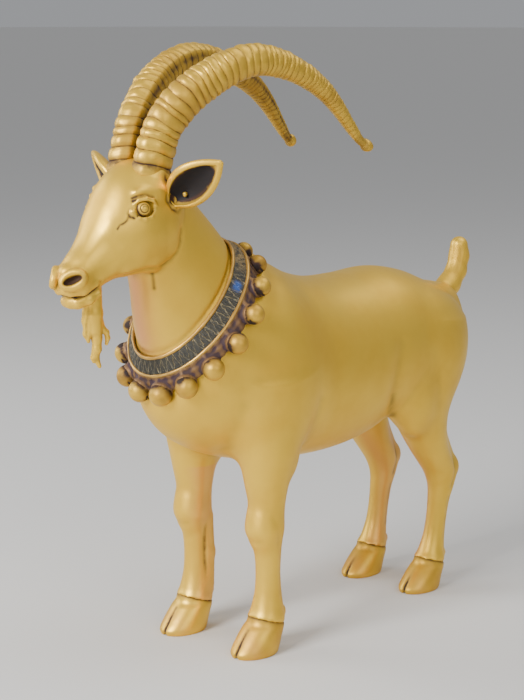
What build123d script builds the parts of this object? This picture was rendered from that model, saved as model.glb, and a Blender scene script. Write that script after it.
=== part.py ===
from build123d import *
import math
import os

# A cast, gilded long-horned goat that stands on four hooves and wears a collar of sixteen bells.
# It faces -Y, its left side is +X, the ground is Z = 0, and everything is in millimetres.
# The castings are tenoned into each other, so each solid below is one physical piece.

# ---------------------------------------------------------------- driving dimensions
WALL = 3.2                 # wall of the hollow torso
NECK_WALL = 6.4            # wall of the hollow neck, whose inner half carries on as a sleeve
SOCKET_DEPTH = 7.0         # how far leg and hoof tenons reach into the next piece
OUTLINE_POINTS = 12        # points of the closed curve round each cross-section

FORE_FOOT_X = 24.5         # left fore leg, distance from the midplane
HIND_FOOT_X = 20.0         # left hind leg, distance from the midplane
FORE_SEAM_Z = 98.0         # where the fore legs meet the torso
HIND_SEAM_Z = 106.0        # where the hind legs meet the torso
FORE_CUFF_Z = 15.0         # top of the fore hooves
HIND_CUFF_Z = 14.5         # top of the hind hooves
LEG_TENON_RADIUS = 5.0
HOOF_TENON_RADIUS = 3.2
CLEFT_WIDTH = 1.4          # split between the two toes of a hoof
CLEFT_DEPTH = 9.0
CLEFT_TOP = 12.0

COLLAR_TILT = 48.0         # slope of the collar's plane, front low and back high, in degrees
COLLAR_CENTRE = (-85.3, 166.8)      # Y, Z of the lower rim's centre
LOWER_RIM = (29.8, 38.4)            # half-width and half-length of the lower rim
UPPER_RIM = (23.4, 34.3)
UPPER_RIM_RISE = (5.85, 1.86)       # from the lower rim: along the collar's axis, and up its slope
STRIP_EDGE = (32.4, 39.1)            # half-width and half-length of the strip's lower edge
BELL_RING = (35.4, 41.6)
BELL_RING_RISE = (-6.2, -2.7)
RIM_RADIUS = 0.8
BAND_THICKNESS = 1.5
BAND_FIT = 0.2                      # clearance of the band and the strip round the castings
COLLAR_SEAT = 0.7                   # how much the castings are necked under the band
SEAM_RISE = 2.9                     # the neck joins the torso here, under the band
SPIGOT_LENGTH = 7.0                 # the neck's sleeve inside the torso

BELL_PAIRS = 8
BELL_FRONT_RADIUS = 5.5
BELL_TOP_RADIUS = 4.3

EYE_CENTRE = (14.3, -126.8, 217.0)
EYE_RADIUS = 3.8
EAR_ROOT = (16.0, -109.5, 220.0)
EAR_TIP = (42.3, -105.2, 238.2)
EAR_ACROSS = (0, -0.2, 0.98)         # the direction of the ear blade's height
EAR_HOLLOW_DEPTH = 2.8               # how far the hollow's centre lies before the blade's
# Along the ear: share of its length, half-height, half-thickness; for the blade and for its hollow.
EAR_BLADE = [(0.0, 5.0, 3.6), (0.25, 8.2, 3.6), (0.5, 8.4, 3.0), (0.78, 5.4, 2.1), (1.0, 0.9, 0.8)]
EAR_HOLLOW = [(0.2, 3.9, 1.4), (0.36, 6.0, 2.2), (0.55, 6.2, 2.0), (0.82, 2.7, 1.1)]
HORN_KNOB_RADIUS = 3.5

# ---------------------------------------------------------------- cross-sections
# Torso, from the rump to the collar: top (Y, Z), bottom (Y, Z), half-width.
TORSO_NARROWING = -0.06              # the torso's upper half is a little fuller than its lower half
TORSO = [
    ((108.5, 147.0), (108.5, 134.0), 7.0),
    ((105.0, 151.4), (105.0, 124.0), 14.8),
    ((99.0, 155.8), (99.0, 115.5), 22.0),
    ((90.0, 160.6), (90.0, 108.5), 27.8),
    ((78.0, 165.4), (78.0, 104.0), 32.0),
    ((63.0, 171.0), (63.0, 101.0), 34.6),
    ((45.0, 173.9), (45.0, 96.0), 36.0),
    ((22.0, 172.6), (22.0, 88.5), 37.0),
    ((-3.0, 173.4), (-5.0, 85.3), 37.5),
    ((-24.0, 178.2), (-36.0, 87.0), 37.3),
    ((-40.0, 185.5), (-66.0, 92.5), 37.0),
    ((-46.5, 189.5), (-90.0, 102.5), 35.5),
    ((-51.5, 191.0), (-105.0, 118.5), 33.5),
]
# Neck and head, from above the collar to the lips: top or nape (Y, Z), underside (Y, Z), half-width.
NECK = [
    ((-67.7, 198.9), (-111.9, 152.7), 21.0),
    ((-73.5, 206.0), (-114.5, 163.0), 19.5),
    ((-80.5, 213.0), (-116.0, 174.0), 18.0),
    ((-89.0, 221.0), (-117.5, 183.0), 17.5),
]
HEAD = [
    ((-100.0, 230.5), (-119.0, 187.0), 18.2),
    ((-112.0, 236.5), (-122.5, 187.0), 18.6),
    ((-123.5, 236.0), (-127.0, 186.4), 18.2),
    ((-132.5, 230.0), (-133.0, 185.4), 16.4),
    ((-139.5, 220.0), (-138.0, 184.0), 13.8),
    ((-145.0, 209.5), (-142.0, 182.3), 11.2),
    ((-150.8, 201.8), (-145.8, 180.0), 9.6),
    ((-156.2, 196.6), (-149.8, 177.6), 8.8),
    ((-160.0, 192.2), (-153.5, 176.4), 7.4),
    ((-161.8, 187.5), (-157.0, 178.5), 4.4),
]
# Legs, from the torso down to the cuff over the hoof: Z, Y, half-width, half-depth.
FORE_LEG = [
    (FORE_SEAM_Z, -57.0, 13.5, 15.0),
    (92.0, -57.5, 12.4, 13.6),
    (85.0, -58.0, 11.0, 11.8),
    (76.0, -58.0, 9.4, 9.8),
    (68.0, -58.0, 8.9, 9.2),
    (60.0, -58.5, 9.0, 9.6),
    (52.0, -57.5, 7.4, 7.6),
    (44.0, -57.0, 6.4, 6.4),
    (34.0, -57.0, 6.2, 6.3),
    (25.0, -57.2, 7.2, 7.3),
    (FORE_CUFF_Z, -58.5, 8.8, 9.0),
]
HIND_LEG = [
    (HIND_SEAM_Z, 64.8, 14.8, 20.4),
    (96.0, 63.2, 13.5, 18.4),
    (86.0, 65.2, 11.8, 14.8),
    (76.0, 70.0, 10.2, 12.0),
    (68.0, 76.2, 9.0, 10.4),
    (61.0, 81.0, 8.2, 9.8),
    (53.0, 82.0, 6.8, 8.0),
    (44.0, 80.0, 5.8, 6.3),
    (32.0, 78.3, 5.6, 6.0),
    (22.0, 76.0, 6.6, 7.0),
    (HIND_CUFF_Z, 73.5, 7.8, 8.2),
]
# Roots of the legs, cast with the torso: Z, Y, half-width, half-depth.
SHOULDER = [(FORE_SEAM_Z, -57.0, 13.5, 15.0), (108.0, -57.0, 14.0, 17.5), (125.0, -58.0, 11.5, 18.0)]
THIGH = [(HIND_SEAM_Z, 64.8, 14.8, 20.4), (116.0, 67.5, 14.6, 20.5), (132.0, 72.0, 12.5, 18.5)]
# Hooves, from the coronet down to the sole: Z, Y, half-width, half-depth.
FORE_HOOF = [
    (FORE_CUFF_Z, -58.5, 8.8, 9.0),
    (9.0, -62.5, 9.6, 11.2),
    (2.0, -66.0, 9.9, 13.3),
    (0.0, -66.0, 9.3, 12.7),
]
HIND_HOOF = [
    (HIND_CUFF_Z, 73.5, 7.8, 8.2),
    (8.5, 69.6, 8.8, 10.4),
    (2.0, 66.0, 9.2, 12.7),
    (0.0, 66.0, 8.6, 12.1),
]
# Left horn, from inside the skull to the tip: X, Y, Z, half-width, half-depth.
HORN = [
    (7.9, -115.9, 227.0, 6.8, 9.4),
    (8.0, -114.6, 234.2, 7.2, 10.0),
    (8.8, -110.0, 248.0, 7.4, 9.9),
    (11.0, -102.0, 260.0, 7.8, 9.4),
    (15.4, -87.8, 271.2, 7.9, 8.7),
    (18.9, -69.5, 278.8, 7.6, 8.0),
    (20.5, -50.5, 279.1, 7.0, 7.3),
    (21.3, -29.0, 272.3, 6.0, 6.0),
    (22.3, -8.3, 258.0, 4.2, 4.2),
    (23.6, 5.0, 244.0, 2.9, 2.9),
    (24.7, 10.9, 238.7, 2.2, 2.2),
]
HORN_KNOB = (24.9, 11.8, 238.2)
# Beard, from inside the chin to its tip: X, Y, Z, half-width, half-depth.
BEARD = [
    (0.0, -143.0, 187.0, 3.4, 4.4),
    (0.0, -143.5, 175.0, 4.2, 5.6),
    (0.0, -142.5, 163.0, 3.6, 5.0),
    (0.0, -141.4, 154.0, 2.6, 3.4),
    (0.0, -140.8, 146.7, 1.0, 1.3),
]
BEARD_LOCKS = [                     # the short locks beside the long one: Y, Z, radius, from root to end
    [(-145.5, 173.0, 3.8), (-147.5, 164.5, 2.8), (-147.0, 159.0, 1.2)],
    [(-141.0, 170.0, 3.8), (-138.2, 161.5, 2.6), (-135.8, 156.5, 1.2)],
]
# Tail, from inside the rump to its tip: Y, Z, radius.
TAIL = [
    (97.0, 146.5, 6.8),
    (105.5, 152.2, 6.4),
    (114.6, 158.4, 5.7),
    (119.9, 166.2, 5.2),
    (121.2, 175.5, 4.9),
    (121.0, 180.4, 3.6),
    (120.8, 182.4, 1.2),
]


# ---------------------------------------------------------------- geometry helpers
def closed_outline(half_width, half_height, narrowing=0.0):
    """An egg-shaped face; narrowing makes its upper half slimmer than its lower half."""
    points = []
    for step in range(OUTLINE_POINTS):
        turn = math.tau * (step / OUTLINE_POINTS - 0.25)
        x = half_width * math.cos(turn) * (1 - narrowing * math.sin(turn))
        points.append((x, half_height * math.sin(turn)))
    return make_face(Spline(*points, periodic=True))


def upright_section(top, bottom, half_width, inset=0.0, narrowing=0.0):
    """A section of the body across the midplane, from its top point down to its bottom point."""
    rise = Vector(0, top[0] - bottom[0], top[1] - bottom[1])
    centre = (0, (top[0] + bottom[0]) / 2, (top[1] + bottom[1]) / 2)
    plane = Plane(origin=centre, x_dir=(1, 0, 0), z_dir=Vector(1, 0, 0).cross(rise))
    return plane * closed_outline(half_width - inset, rise.length / 2 - inset, narrowing)


def level_section(x, y, z, half_width, half_depth):
    """A horizontal section of a leg, a hoof or the beard."""
    return Pos(x, y, z) * closed_outline(half_width, half_depth)


def tube(stations):
    """A tapering limb through stations of X, Y, Z, half-width and half-depth, cut square to its path."""
    faces = []
    for index, station in enumerate(stations):
        before = stations[max(index - 1, 0)]
        after = stations[min(index + 1, len(stations) - 1)]
        along = Vector(*after[:3]) - Vector(*before[:3])
        sideways = Vector(1, 0, 0) - along * (along.X / along.dot(along))
        plane = Plane(origin=station[:3], x_dir=sideways, z_dir=along)
        faces.append(plane * closed_outline(station[3], station[4]))
    return loft(faces)


def mirrored(solid):
    """The same piece on the goat's right side."""
    return mirror(solid, about=Plane.YZ)


# ---------------------------------------------------------------- collar frame
SLOPE = Vector(0, math.cos(math.radians(COLLAR_TILT)), math.sin(math.radians(COLLAR_TILT)))
COLLAR_AXIS = Vector(0, -SLOPE.Z, SLOPE.Y)      # up the neck, square to the collar's plane


def collar_plane(rise):
    """A plane parallel to the collar; rise is how far up its axis and up its slope."""
    centre = Vector(0, *COLLAR_CENTRE) + COLLAR_AXIS * rise[0] + SLOPE * rise[1]
    return Plane(origin=centre, x_dir=(1, 0, 0), z_dir=COLLAR_AXIS)


def blend(first, second, share):
    """The pair of values a given share of the way from the first pair to the second."""
    return tuple(one + (other - one) * share for one, other in zip(first, second))


def collar_section(share, inset):
    """A ring section of the body; share is 0 at the lower rim, 1 at the upper rim, -1 at the bells."""
    if share >= 0:
        rise = blend((0, 0), UPPER_RIM_RISE, share)
        size = blend(LOWER_RIM, UPPER_RIM, share)
    else:
        rise = blend((0, 0), BELL_RING_RISE, -share)
        size = blend(LOWER_RIM, STRIP_EDGE, -share)
    return collar_plane(rise) * closed_outline(size[0] - inset, size[1] - inset)


def seat_section(share, inset):
    """A section of the castings under the collar."""
    seat = COLLAR_SEAT if share >= 0 else BAND_FIT
    return collar_section(share, BAND_THICKNESS + seat + inset)


SEAM_SHARE = SEAM_RISE / UPPER_RIM_RISE[0]


# ---------------------------------------------------------------- castings
def torso_form(inset):
    """The torso's outer form, or its core when inset is the wall thickness."""
    stations = TORSO if inset == 0 else TORSO[2:]
    faces = [upright_section(*station, inset, TORSO_NARROWING) for station in stations]
    faces += [seat_section(share, inset) for share in (-1, 0, SEAM_SHARE)]
    return loft(faces)


def neck_form(inset):
    """The neck and head as one form, or the core of the neck alone when inset is its wall thickness."""
    faces = [seat_section(share, inset) for share in (SEAM_SHARE, 1)]
    stations = NECK + HEAD if inset == 0 else NECK
    faces += [upright_section(*station, inset) for station in stations]
    return loft(faces)


def neck_sleeve(torso_core):
    """The sleeve under the neck: it slips into the torso's opening and fits its inner wall."""
    seam = collar_plane(blend((0, 0), UPPER_RIM_RISE, SEAM_SHARE))
    slab = seam * Pos(0, 0, -SPIGOT_LENGTH / 2) * Box(90, 120, SPIGOT_LENGTH)
    bore = loft([seat_section(share, NECK_WALL) for share in (-1.6, -1, SEAM_SHARE)])
    return (torso_core & slab) - bore


def limb(stations, side_x):
    """A leg, a leg's root or a hoof as a loft of level sections."""
    return loft([level_section(side_x, y, z, width, depth) for z, y, width, depth in stations])


def tenon(side_x, y, z, radius):
    """A round tenon standing up from the top of a leg or a hoof."""
    return Pos(side_x, y, z + SOCKET_DEPTH / 2) * Cylinder(radius, SOCKET_DEPTH)


def hoof(stations, side_x):
    """A cloven hoof with its tenon."""
    sole_front = stations[-1][1] - stations[-1][3]
    cleft = Pos(side_x, sole_front, CLEFT_TOP / 2 - 1) * Box(CLEFT_WIDTH, 2 * CLEFT_DEPTH, CLEFT_TOP + 2)
    body = limb(stations, side_x) - cleft
    return body + tenon(side_x, stations[0][1], stations[0][0], HOOF_TENON_RADIUS)


def horn_left():
    """The left horn: a swept-back crescent with a small knob at its tip and its root in the skull."""
    knob = Pos(*HORN_KNOB) * Sphere(HORN_KNOB_RADIUS)
    return tube(HORN) + knob


def ear_left():
    """The left ear: a leaf-shaped blade, hollowed on its forward side."""
    root = Vector(*EAR_ROOT)
    span = Vector(*EAR_TIP) - root
    across = Vector(*EAR_ACROSS)

    def blade(stations, forward):
        faces = []
        for share, half_height, half_thickness in stations:
            plane = Plane(origin=root + span * share + Vector(0, forward, 0), x_dir=across, z_dir=span)
            faces.append(plane * closed_outline(half_height, half_thickness))
        return loft(faces)

    outer = blade(EAR_BLADE, 0)
    hollow = blade(EAR_HOLLOW, -EAR_HOLLOW_DEPTH)
    return outer - hollow


def beard():
    """The beard: one long lock with a shorter one before it and another behind it."""
    locks = loft([level_section(x, y, z, width, depth) for x, y, z, width, depth in BEARD])
    for lock in BEARD_LOCKS:
        locks += loft([level_section(0, y, z, radius * 0.8, radius) for y, z, radius in lock])
    return locks


def tail():
    """The upright tail with its rounded end."""
    return tube([(0, y, z, radius, radius) for y, z, radius in TAIL])


# ---------------------------------------------------------------- collar and bells
def collar_form(low, high, inset):
    """The collar's form between two shares of its height, as a filled ring."""
    return loft([collar_section(low, inset), collar_section(high, inset)])


def collar_ring(low, high):
    """A ring of sheet metal that follows the collar's form between two shares of its height."""
    margin = 0.02
    inset = BAND_THICKNESS - BAND_FIT
    return collar_form(low, high, 0) - collar_form(low - margin, high + margin, inset)


def rim(share):
    """A wire rim round the collar."""
    rise = blend((0, 0), UPPER_RIM_RISE, share)
    half_width, half_length = blend(LOWER_RIM, UPPER_RIM, share)
    plane = collar_plane(rise)
    turns = [math.tau * step / OUTLINE_POINTS for step in range(OUTLINE_POINTS)]
    points = [(half_width * math.cos(turn), half_length * math.sin(turn)) for turn in turns]
    path = plane * Spline(*points, periodic=True)
    return sweep(Plane(origin=path @ 0, z_dir=path % 0) * Circle(RIM_RADIUS), path=path)


def bell_turns():
    """The eight places round the left side, evenly pitched, with no bell on the midline."""
    return [180 * (index + 0.5) / BELL_PAIRS for index in range(BELL_PAIRS)]


def bell_radius(turn):
    """Bells shrink from the front of the ring to the withers."""
    return BELL_FRONT_RADIUS + (BELL_TOP_RADIUS - BELL_FRONT_RADIUS) * turn / 180


def bell_ball(turn):
    """The round of one bell; turn is in degrees round the ring, from the front towards the goat's left."""
    angle = math.radians(turn)
    plane = collar_plane(BELL_RING_RISE)
    centre = plane.from_local_coords((BELL_RING[0] * math.sin(angle), -BELL_RING[1] * math.cos(angle), 0))
    outward = Plane(origin=centre, x_dir=centre - plane.origin, z_dir=COLLAR_AXIS)
    return outward * Sphere(bell_radius(turn))


# ---------------------------------------------------------------- assembly
torso_outer = torso_form(0)
torso_core = torso_form(WALL)
head_outer = neck_form(0)
pieces = {}

fore_tenon = tenon(FORE_FOOT_X, FORE_LEG[0][1], FORE_SEAM_Z, LEG_TENON_RADIUS)
hind_tenon = tenon(HIND_FOOT_X, HIND_LEG[0][1], HIND_SEAM_Z, LEG_TENON_RADIUS)
fore_hoof = hoof(FORE_HOOF, FORE_FOOT_X)
hind_hoof = hoof(HIND_HOOF, HIND_FOOT_X)
left_legs = {
    "foreleg": (limb(FORE_LEG, FORE_FOOT_X), fore_tenon, fore_hoof),
    "hindleg": (limb(HIND_LEG, HIND_FOOT_X), hind_tenon, hind_hoof),
}
for leg_name, (form, top_tenon, foot) in left_legs.items():
    pieces[leg_name + "_left"] = form - torso_outer + top_tenon - foot
    pieces[leg_name + "_right"] = mirrored(form) - torso_outer + mirrored(top_tenon) - mirrored(foot)

left_pieces = {
    "hoof_fore": fore_hoof,
    "hoof_hind": hind_hoof,
    "horn": horn_left(),
    "ear": ear_left(),
    "eye": Pos(*EYE_CENTRE) * Rot(0, 0, 35) * Sphere(EYE_RADIUS),
}
for left_name, solid in left_pieces.items():
    pieces[left_name + "_left"] = solid
    pieces[left_name + "_right"] = mirrored(solid)

pieces["tail"] = tail()
left_roots = limb(SHOULDER, FORE_FOOT_X) + limb(THIGH, HIND_FOOT_X)
left_sockets = fore_tenon + hind_tenon
torso = torso_outer + left_roots + mirrored(left_roots)
pieces["torso"] = torso - torso_core - left_sockets - mirrored(left_sockets) - pieces["tail"]

pieces["beard"] = beard()
head = head_outer - neck_form(NECK_WALL) + neck_sleeve(torso_core) - pieces["beard"]
for left_name in ("horn", "ear", "eye"):
    head = head - pieces[left_name + "_left"] - pieces[left_name + "_right"]
pieces["neck_and_head"] = head

# The band and the strip stop at the rims, which lie against their edges.
band_edge = RIM_RADIUS / UPPER_RIM_RISE[0]
strip_edge = RIM_RADIUS / BELL_RING_RISE[0]
pieces["collar_band"] = collar_ring(band_edge, 1 - band_edge)
pieces["bell_strip"] = collar_ring(-1, strip_edge)
pieces["collar_upper_rim"] = rim(1) - head_outer
pieces["collar_lower_rim"] = rim(0) - torso_outer

strip_form = collar_form(-1, strip_edge, 0)
for index, turn in enumerate(bell_turns()):
    left_ball = bell_ball(turn)
    pieces[f"bell_{2 * index + 1:02d}"] = left_ball - strip_form - torso_outer
    pieces[f"bell_{2 * index + 2:02d}"] = mirrored(left_ball) - strip_form - torso_outer

# ---------------------------------------------------------------- origin and files
# The origin is under the middle of the whole goat, on the ground.
corners = [solid.bounding_box() for solid in pieces.values()]
low = Vector(*[min(getattr(box.min, axis) for box in corners) for axis in "XYZ"])
high = Vector(*[max(getattr(box.max, axis) for box in corners) for axis in "XYZ"])
to_origin = Pos(-(low.X + high.X) / 2, -(low.Y + high.Y) / 2, -low.Z)
os.makedirs("parts", exist_ok=True)
for node_name, solid in pieces.items():
    export_step(to_origin * solid, f"parts/{node_name}.step")
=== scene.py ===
import math

import bmesh
import bpy
import numpy as np
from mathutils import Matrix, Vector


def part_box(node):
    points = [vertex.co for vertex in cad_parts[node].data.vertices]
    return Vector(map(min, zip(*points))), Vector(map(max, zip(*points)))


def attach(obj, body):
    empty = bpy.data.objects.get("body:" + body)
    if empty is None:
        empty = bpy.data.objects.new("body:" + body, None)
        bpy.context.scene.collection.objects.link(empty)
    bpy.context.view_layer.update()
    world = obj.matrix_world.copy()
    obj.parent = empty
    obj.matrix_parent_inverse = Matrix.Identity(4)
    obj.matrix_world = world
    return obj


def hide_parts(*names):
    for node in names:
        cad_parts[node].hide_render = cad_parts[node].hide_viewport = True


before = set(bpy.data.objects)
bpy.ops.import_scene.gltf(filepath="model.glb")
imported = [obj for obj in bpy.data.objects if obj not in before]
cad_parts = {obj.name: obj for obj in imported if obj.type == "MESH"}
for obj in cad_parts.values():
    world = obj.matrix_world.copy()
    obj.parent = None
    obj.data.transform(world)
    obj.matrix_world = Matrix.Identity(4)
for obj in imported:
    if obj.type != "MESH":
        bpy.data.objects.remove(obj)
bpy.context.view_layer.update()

import openvdb
from mathutils import Vector

# A cast, gilded long-horned goat with a collar of sixteen bells. Forms are written in millimetres in the
# design's own frame (ground at Z = 0, facing -Y, left side +X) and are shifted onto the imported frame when
# their meshes are made.

MM = 0.001
SIDES = ((1, "left"), (-1, "right"))

# ---------------------------------------------------------------- places, read from the frame


def centre_mm(node):
    """The centre of a node's box, in millimetres."""
    low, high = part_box(node)
    return (np.array(low) + np.array(high)) / 2 / MM


EYE = np.array([14.3, -126.8, 217.0])
EYE_RADIUS = 3.8
SHIFT = centre_mm("eye_left") - EYE        # from the design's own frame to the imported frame

FORE_SEAM_Z = 98.0                         # where the castings of the legs part from the torso
HIND_SEAM_Z = 106.0
FORE_CUFF_Z = 15.0                         # where the cuffs end over the hooves, at the middle of the foot
HIND_CUFF_Z = 14.5
FORE_CUFF_Y = -58.5
HIND_CUFF_Y = 73.5
CUFF_SLOPE = 0.3                           # the cuffs stand higher at the front of the foot
TAIL_SEAM_Y = 103.5                        # where the casting of the tail parts from the torso
TAIL_SEAM_Z = 152.0
RIM_TUCK = 0.9                             # how deep a casting's open edge is turned in
BLEND_ROOM = 3                             # samples this far beyond a fillet are still updated

# The collar's plane is tilted; its rings are ellipses about one sloping axis. Each ring has its half-width
# and half-length, and how far its middle lies along the collar's axis and its slope.
COLLAR_TILT = math.radians(48.0)
SLOPE = np.array([0.0, math.cos(COLLAR_TILT), math.sin(COLLAR_TILT)])
COLLAR_AXIS = np.array([0.0, -SLOPE[2], SLOPE[1]])
COLLAR_CENTRE = np.array([0.0, -85.3, 166.8])
LOWER_RIM = np.array([29.8, 38.4])
UPPER_RIM = np.array([23.4, 34.3])
UPPER_RIM_RISE = np.array([5.85, 1.86])
BELL_RING = np.array([35.4, 41.6])
BELL_RING_RISE = np.array([-6.2, -2.7])
STRIP_EDGE = np.array([32.4, 39.1])
SEAM_RISE = 2.9                            # where the neck parts from the torso, under the band
RIM_RADIUS = 0.8
BAND_RADIUS = 35.0                         # turns an angle into millimetres round the band
ZIGZAG_PITCH = 2.2
ENAMEL_TURN = 1.92                         # where the blue patch lies, in radians from the front
TARNISH_TURN = 2.1                         # beyond this the engraving is tarnished
BELL_PAIRS = 8
BELL_FRONT_RADIUS = 5.5
BELL_TOP_RADIUS = 4.3

# Ear: root, tip, the way its hollow faces, and its half-height and half-depth at shares of its length.
EAR_ROOT = Vector((16.0, -109.4, 219.8))
EAR_TIP = Vector((41.2, -104.3, 237.8))
EAR_FACING = Vector((0.55, -0.78, -0.25))
EAR_SHARES = [-0.2, 0.0, 0.15, 0.35, 0.55, 0.75, 0.9, 1.0, 1.05]
EAR_HALF_HEIGHTS = [3.0, 4.8, 7.6, 9.5, 9.4, 7.3, 4.3, 1.6, 0.4]
EAR_HALF_DEPTHS = [2.4, 3.0, 4.2, 4.4, 3.8, 2.8, 1.9, 1.0, 0.4]
EAR_RIM = 2.6                              # width of the rim round the hollow
EAR_FRONT = 2.6                            # how far the hollow's middle stands before the ear's
EAR_LIFT = 0.9                             # how far the leaf bulges upward in the middle of its length

# Horn rings: the first one's place, their pitch at the root and its loss to the tip, and the bare end.
FIRST_RING = 1.5
RING_PITCH = 4.5
RING_PITCH_LOSS = 2.2
BARE_TIP = 9

# The view: the camera's place, turn and pitch, and its lens.
CAMERA_PLACE = np.array([586.0, -655.0, 298.0])
CAMERA_TURN = math.radians(43.4)
CAMERA_PITCH = math.radians(10.485)
CAMERA_LENS = 91.7
FLOOR_REACH = 60.0                         # metres

# Colours.
BROWN = (0.055, 0.024, 0.010)
# Near black, for the deepest patina and for painted shade.
SOOT_AND_SHADE = (0.010, 0.007, 0.008)
ROSE = (0.84, 0.36, 0.16)

# ---------------------------------------------------------------- sections of the body
# Sections square to the midplane: top (Y, Z), bottom (Y, Z), half-width, how much slimmer the upper half is,
# and squareness (2 is an ellipse).
TORSO = [
    ((109.0, 146.0), (109.0, 135.0), 6.5, 0.0, 2.0),
    ((105.8, 151.4), (105.8, 125.0), 14.5, 0.0, 2.0),
    ((99.8, 155.8), (99.8, 115.5), 21.6, 0.0, 2.0),
    ((90.0, 160.4), (90.0, 107.5), 27.4, 0.02, 2.1),
    ((77.5, 165.2), (77.5, 103.5), 31.6, 0.04, 2.1),
    ((63.0, 170.6), (63.0, 104.0), 34.2, 0.05, 2.1),
    ((45.0, 173.6), (45.0, 98.0), 35.6, 0.06, 2.1),
    ((22.0, 172.6), (22.0, 88.5), 36.8, 0.07, 2.1),
    ((-3.0, 173.2), (-5.0, 85.3), 37.3, 0.08, 2.1),
    ((-24.0, 178.0), (-36.0, 87.0), 36.8, 0.08, 2.1),
    ((-40.0, 185.2), (-66.0, 92.5), 36.0, 0.06, 2.1),
    ((-46.5, 189.3), (-90.0, 102.5), 34.5, 0.04, 2.0),
    ((-51.5, 191.0), (-105.0, 118.5), 32.8, 0.0, 2.0),
]
NECK = [
    ((-67.7, 198.9), (-111.9, 152.7), 20.8, 0.0, 2.0),
    ((-73.5, 205.6), (-114.5, 163.0), 18.6, 0.0, 2.0),
    ((-80.5, 212.6), (-116.2, 174.0), 16.8, 0.0, 2.0),
    ((-89.0, 220.5), (-118.0, 183.5), 16.0, 0.0, 2.0),
    ((-100.0, 229.0), (-120.0, 190.0), 15.5, 0.0, 2.0),
    ((-108.0, 232.0), (-121.0, 196.0), 14.0, 0.0, 2.0),
]
HEAD = [
    ((-98.5, 221.0), (-100.0, 205.0), 9.0, 0.0, 2.0),
    ((-101.0, 230.0), (-102.5, 199.0), 14.2, 0.0, 2.1),
    ((-106.0, 235.0), (-107.5, 193.8), 17.2, 0.02, 2.1),
    ((-114.0, 237.6), (-116.0, 189.4), 18.5, 0.05, 2.1),
    ((-123.5, 236.4), (-126.5, 187.0), 18.3, 0.07, 2.1),
    ((-132.5, 230.2), (-133.5, 185.6), 16.2, 0.08, 2.1),
    ((-139.6, 220.2), (-138.6, 184.2), 13.6, 0.08, 2.1),
    ((-145.2, 209.8), (-142.4, 182.6), 11.2, 0.08, 2.1),
    ((-150.8, 202.0), (-146.2, 180.4), 9.7, 0.06, 2.2),
    ((-156.2, 196.6), (-150.0, 178.2), 9.0, 0.02, 2.2),
    ((-159.9, 192.0), (-153.8, 177.8), 7.6, 0.0, 2.1),
    ((-161.0, 188.2), (-158.6, 179.8), 4.2, 0.0, 2.0),
]
# Legs from the body down to the cuff: Z, X, Y, half-width, half-depth.
FORE_LEG = [
    (128.0, 22.5, -56.0, 13.5, 20.0),
    (110.0, 23.8, -56.5, 14.0, 18.5),
    (98.0, 24.5, -57.0, 13.4, 15.4),
    (90.0, 24.5, -57.5, 11.9, 13.2),
    (81.0, 24.5, -58.0, 10.1, 10.9),
    (73.0, 24.5, -58.0, 8.9, 9.2),
    (67.0, 24.5, -58.6, 8.8, 9.2),
    (60.0, 24.5, -59.0, 8.9, 9.6),
    (54.0, 24.5, -58.2, 7.5, 8.0),
    (47.0, 24.5, -57.2, 6.4, 6.6),
    (38.0, 24.5, -57.0, 6.0, 6.1),
    (29.0, 24.5, -57.0, 6.4, 6.6),
    (21.0, 24.5, -57.6, 7.7, 8.0),
    (16.0, 24.5, -58.6, 8.9, 9.5),
    (12.0, 24.5, -59.4, 8.6, 9.3),
]
HIND_LEG = [
    (140.0, 16.5, 73.5, 12.5, 20.0),
    (124.0, 18.5, 69.5, 14.2, 21.4),
    (112.0, 19.8, 66.0, 14.6, 20.8),
    (101.0, 20.0, 64.0, 13.8, 18.4),
    (91.0, 20.0, 65.2, 12.4, 15.2),
    (82.0, 20.0, 68.6, 10.9, 12.6),
    (74.0, 20.0, 73.0, 9.6, 11.0),
    (67.0, 20.0, 78.0, 8.8, 10.2),
    (61.0, 20.0, 82.0, 8.1, 9.8),
    (54.0, 20.0, 82.6, 6.8, 7.8),
    (46.0, 20.0, 80.8, 5.7, 6.3),
    (37.0, 20.0, 79.2, 5.3, 5.8),
    (28.0, 20.0, 77.4, 5.6, 6.0),
    (20.0, 20.0, 75.2, 6.7, 7.2),
    (15.5, 20.0, 73.4, 8.0, 8.8),
    (11.5, 20.0, 72.4, 7.7, 8.6),
]
# Hooves from the top down, in the same columns.
FORE_HOOF = [
    (20.0, 24.5, -58.0, 8.0, 9.0),
    (15.0, 24.5, -59.0, 8.3, 9.4),
    (12.0, 24.5, -60.4, 9.3, 10.9),
    (7.0, 24.5, -63.6, 9.8, 12.3),
    (2.5, 24.5, -66.0, 9.9, 13.4),
    (0.0, 24.5, -66.2, 9.3, 12.9),
]
HIND_HOOF = [
    (19.5, 20.0, 74.0, 7.3, 8.3),
    (14.5, 20.0, 73.0, 7.5, 8.6),
    (11.5, 20.0, 71.6, 8.5, 10.2),
    (7.0, 20.0, 68.2, 9.0, 11.9),
    (2.5, 20.0, 65.6, 9.2, 13.3),
    (0.0, 20.0, 65.4, 8.6, 12.8),
]
# Tail from the root to the tip: Y, Z, radius.
TAIL = [
    (95.0, 145.0, 7.4),
    (103.5, 151.0, 6.8),
    (112.6, 156.8, 6.0),
    (118.8, 163.6, 5.4),
    (121.2, 171.5, 5.2),
    (121.0, 177.4, 4.8),
]
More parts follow.
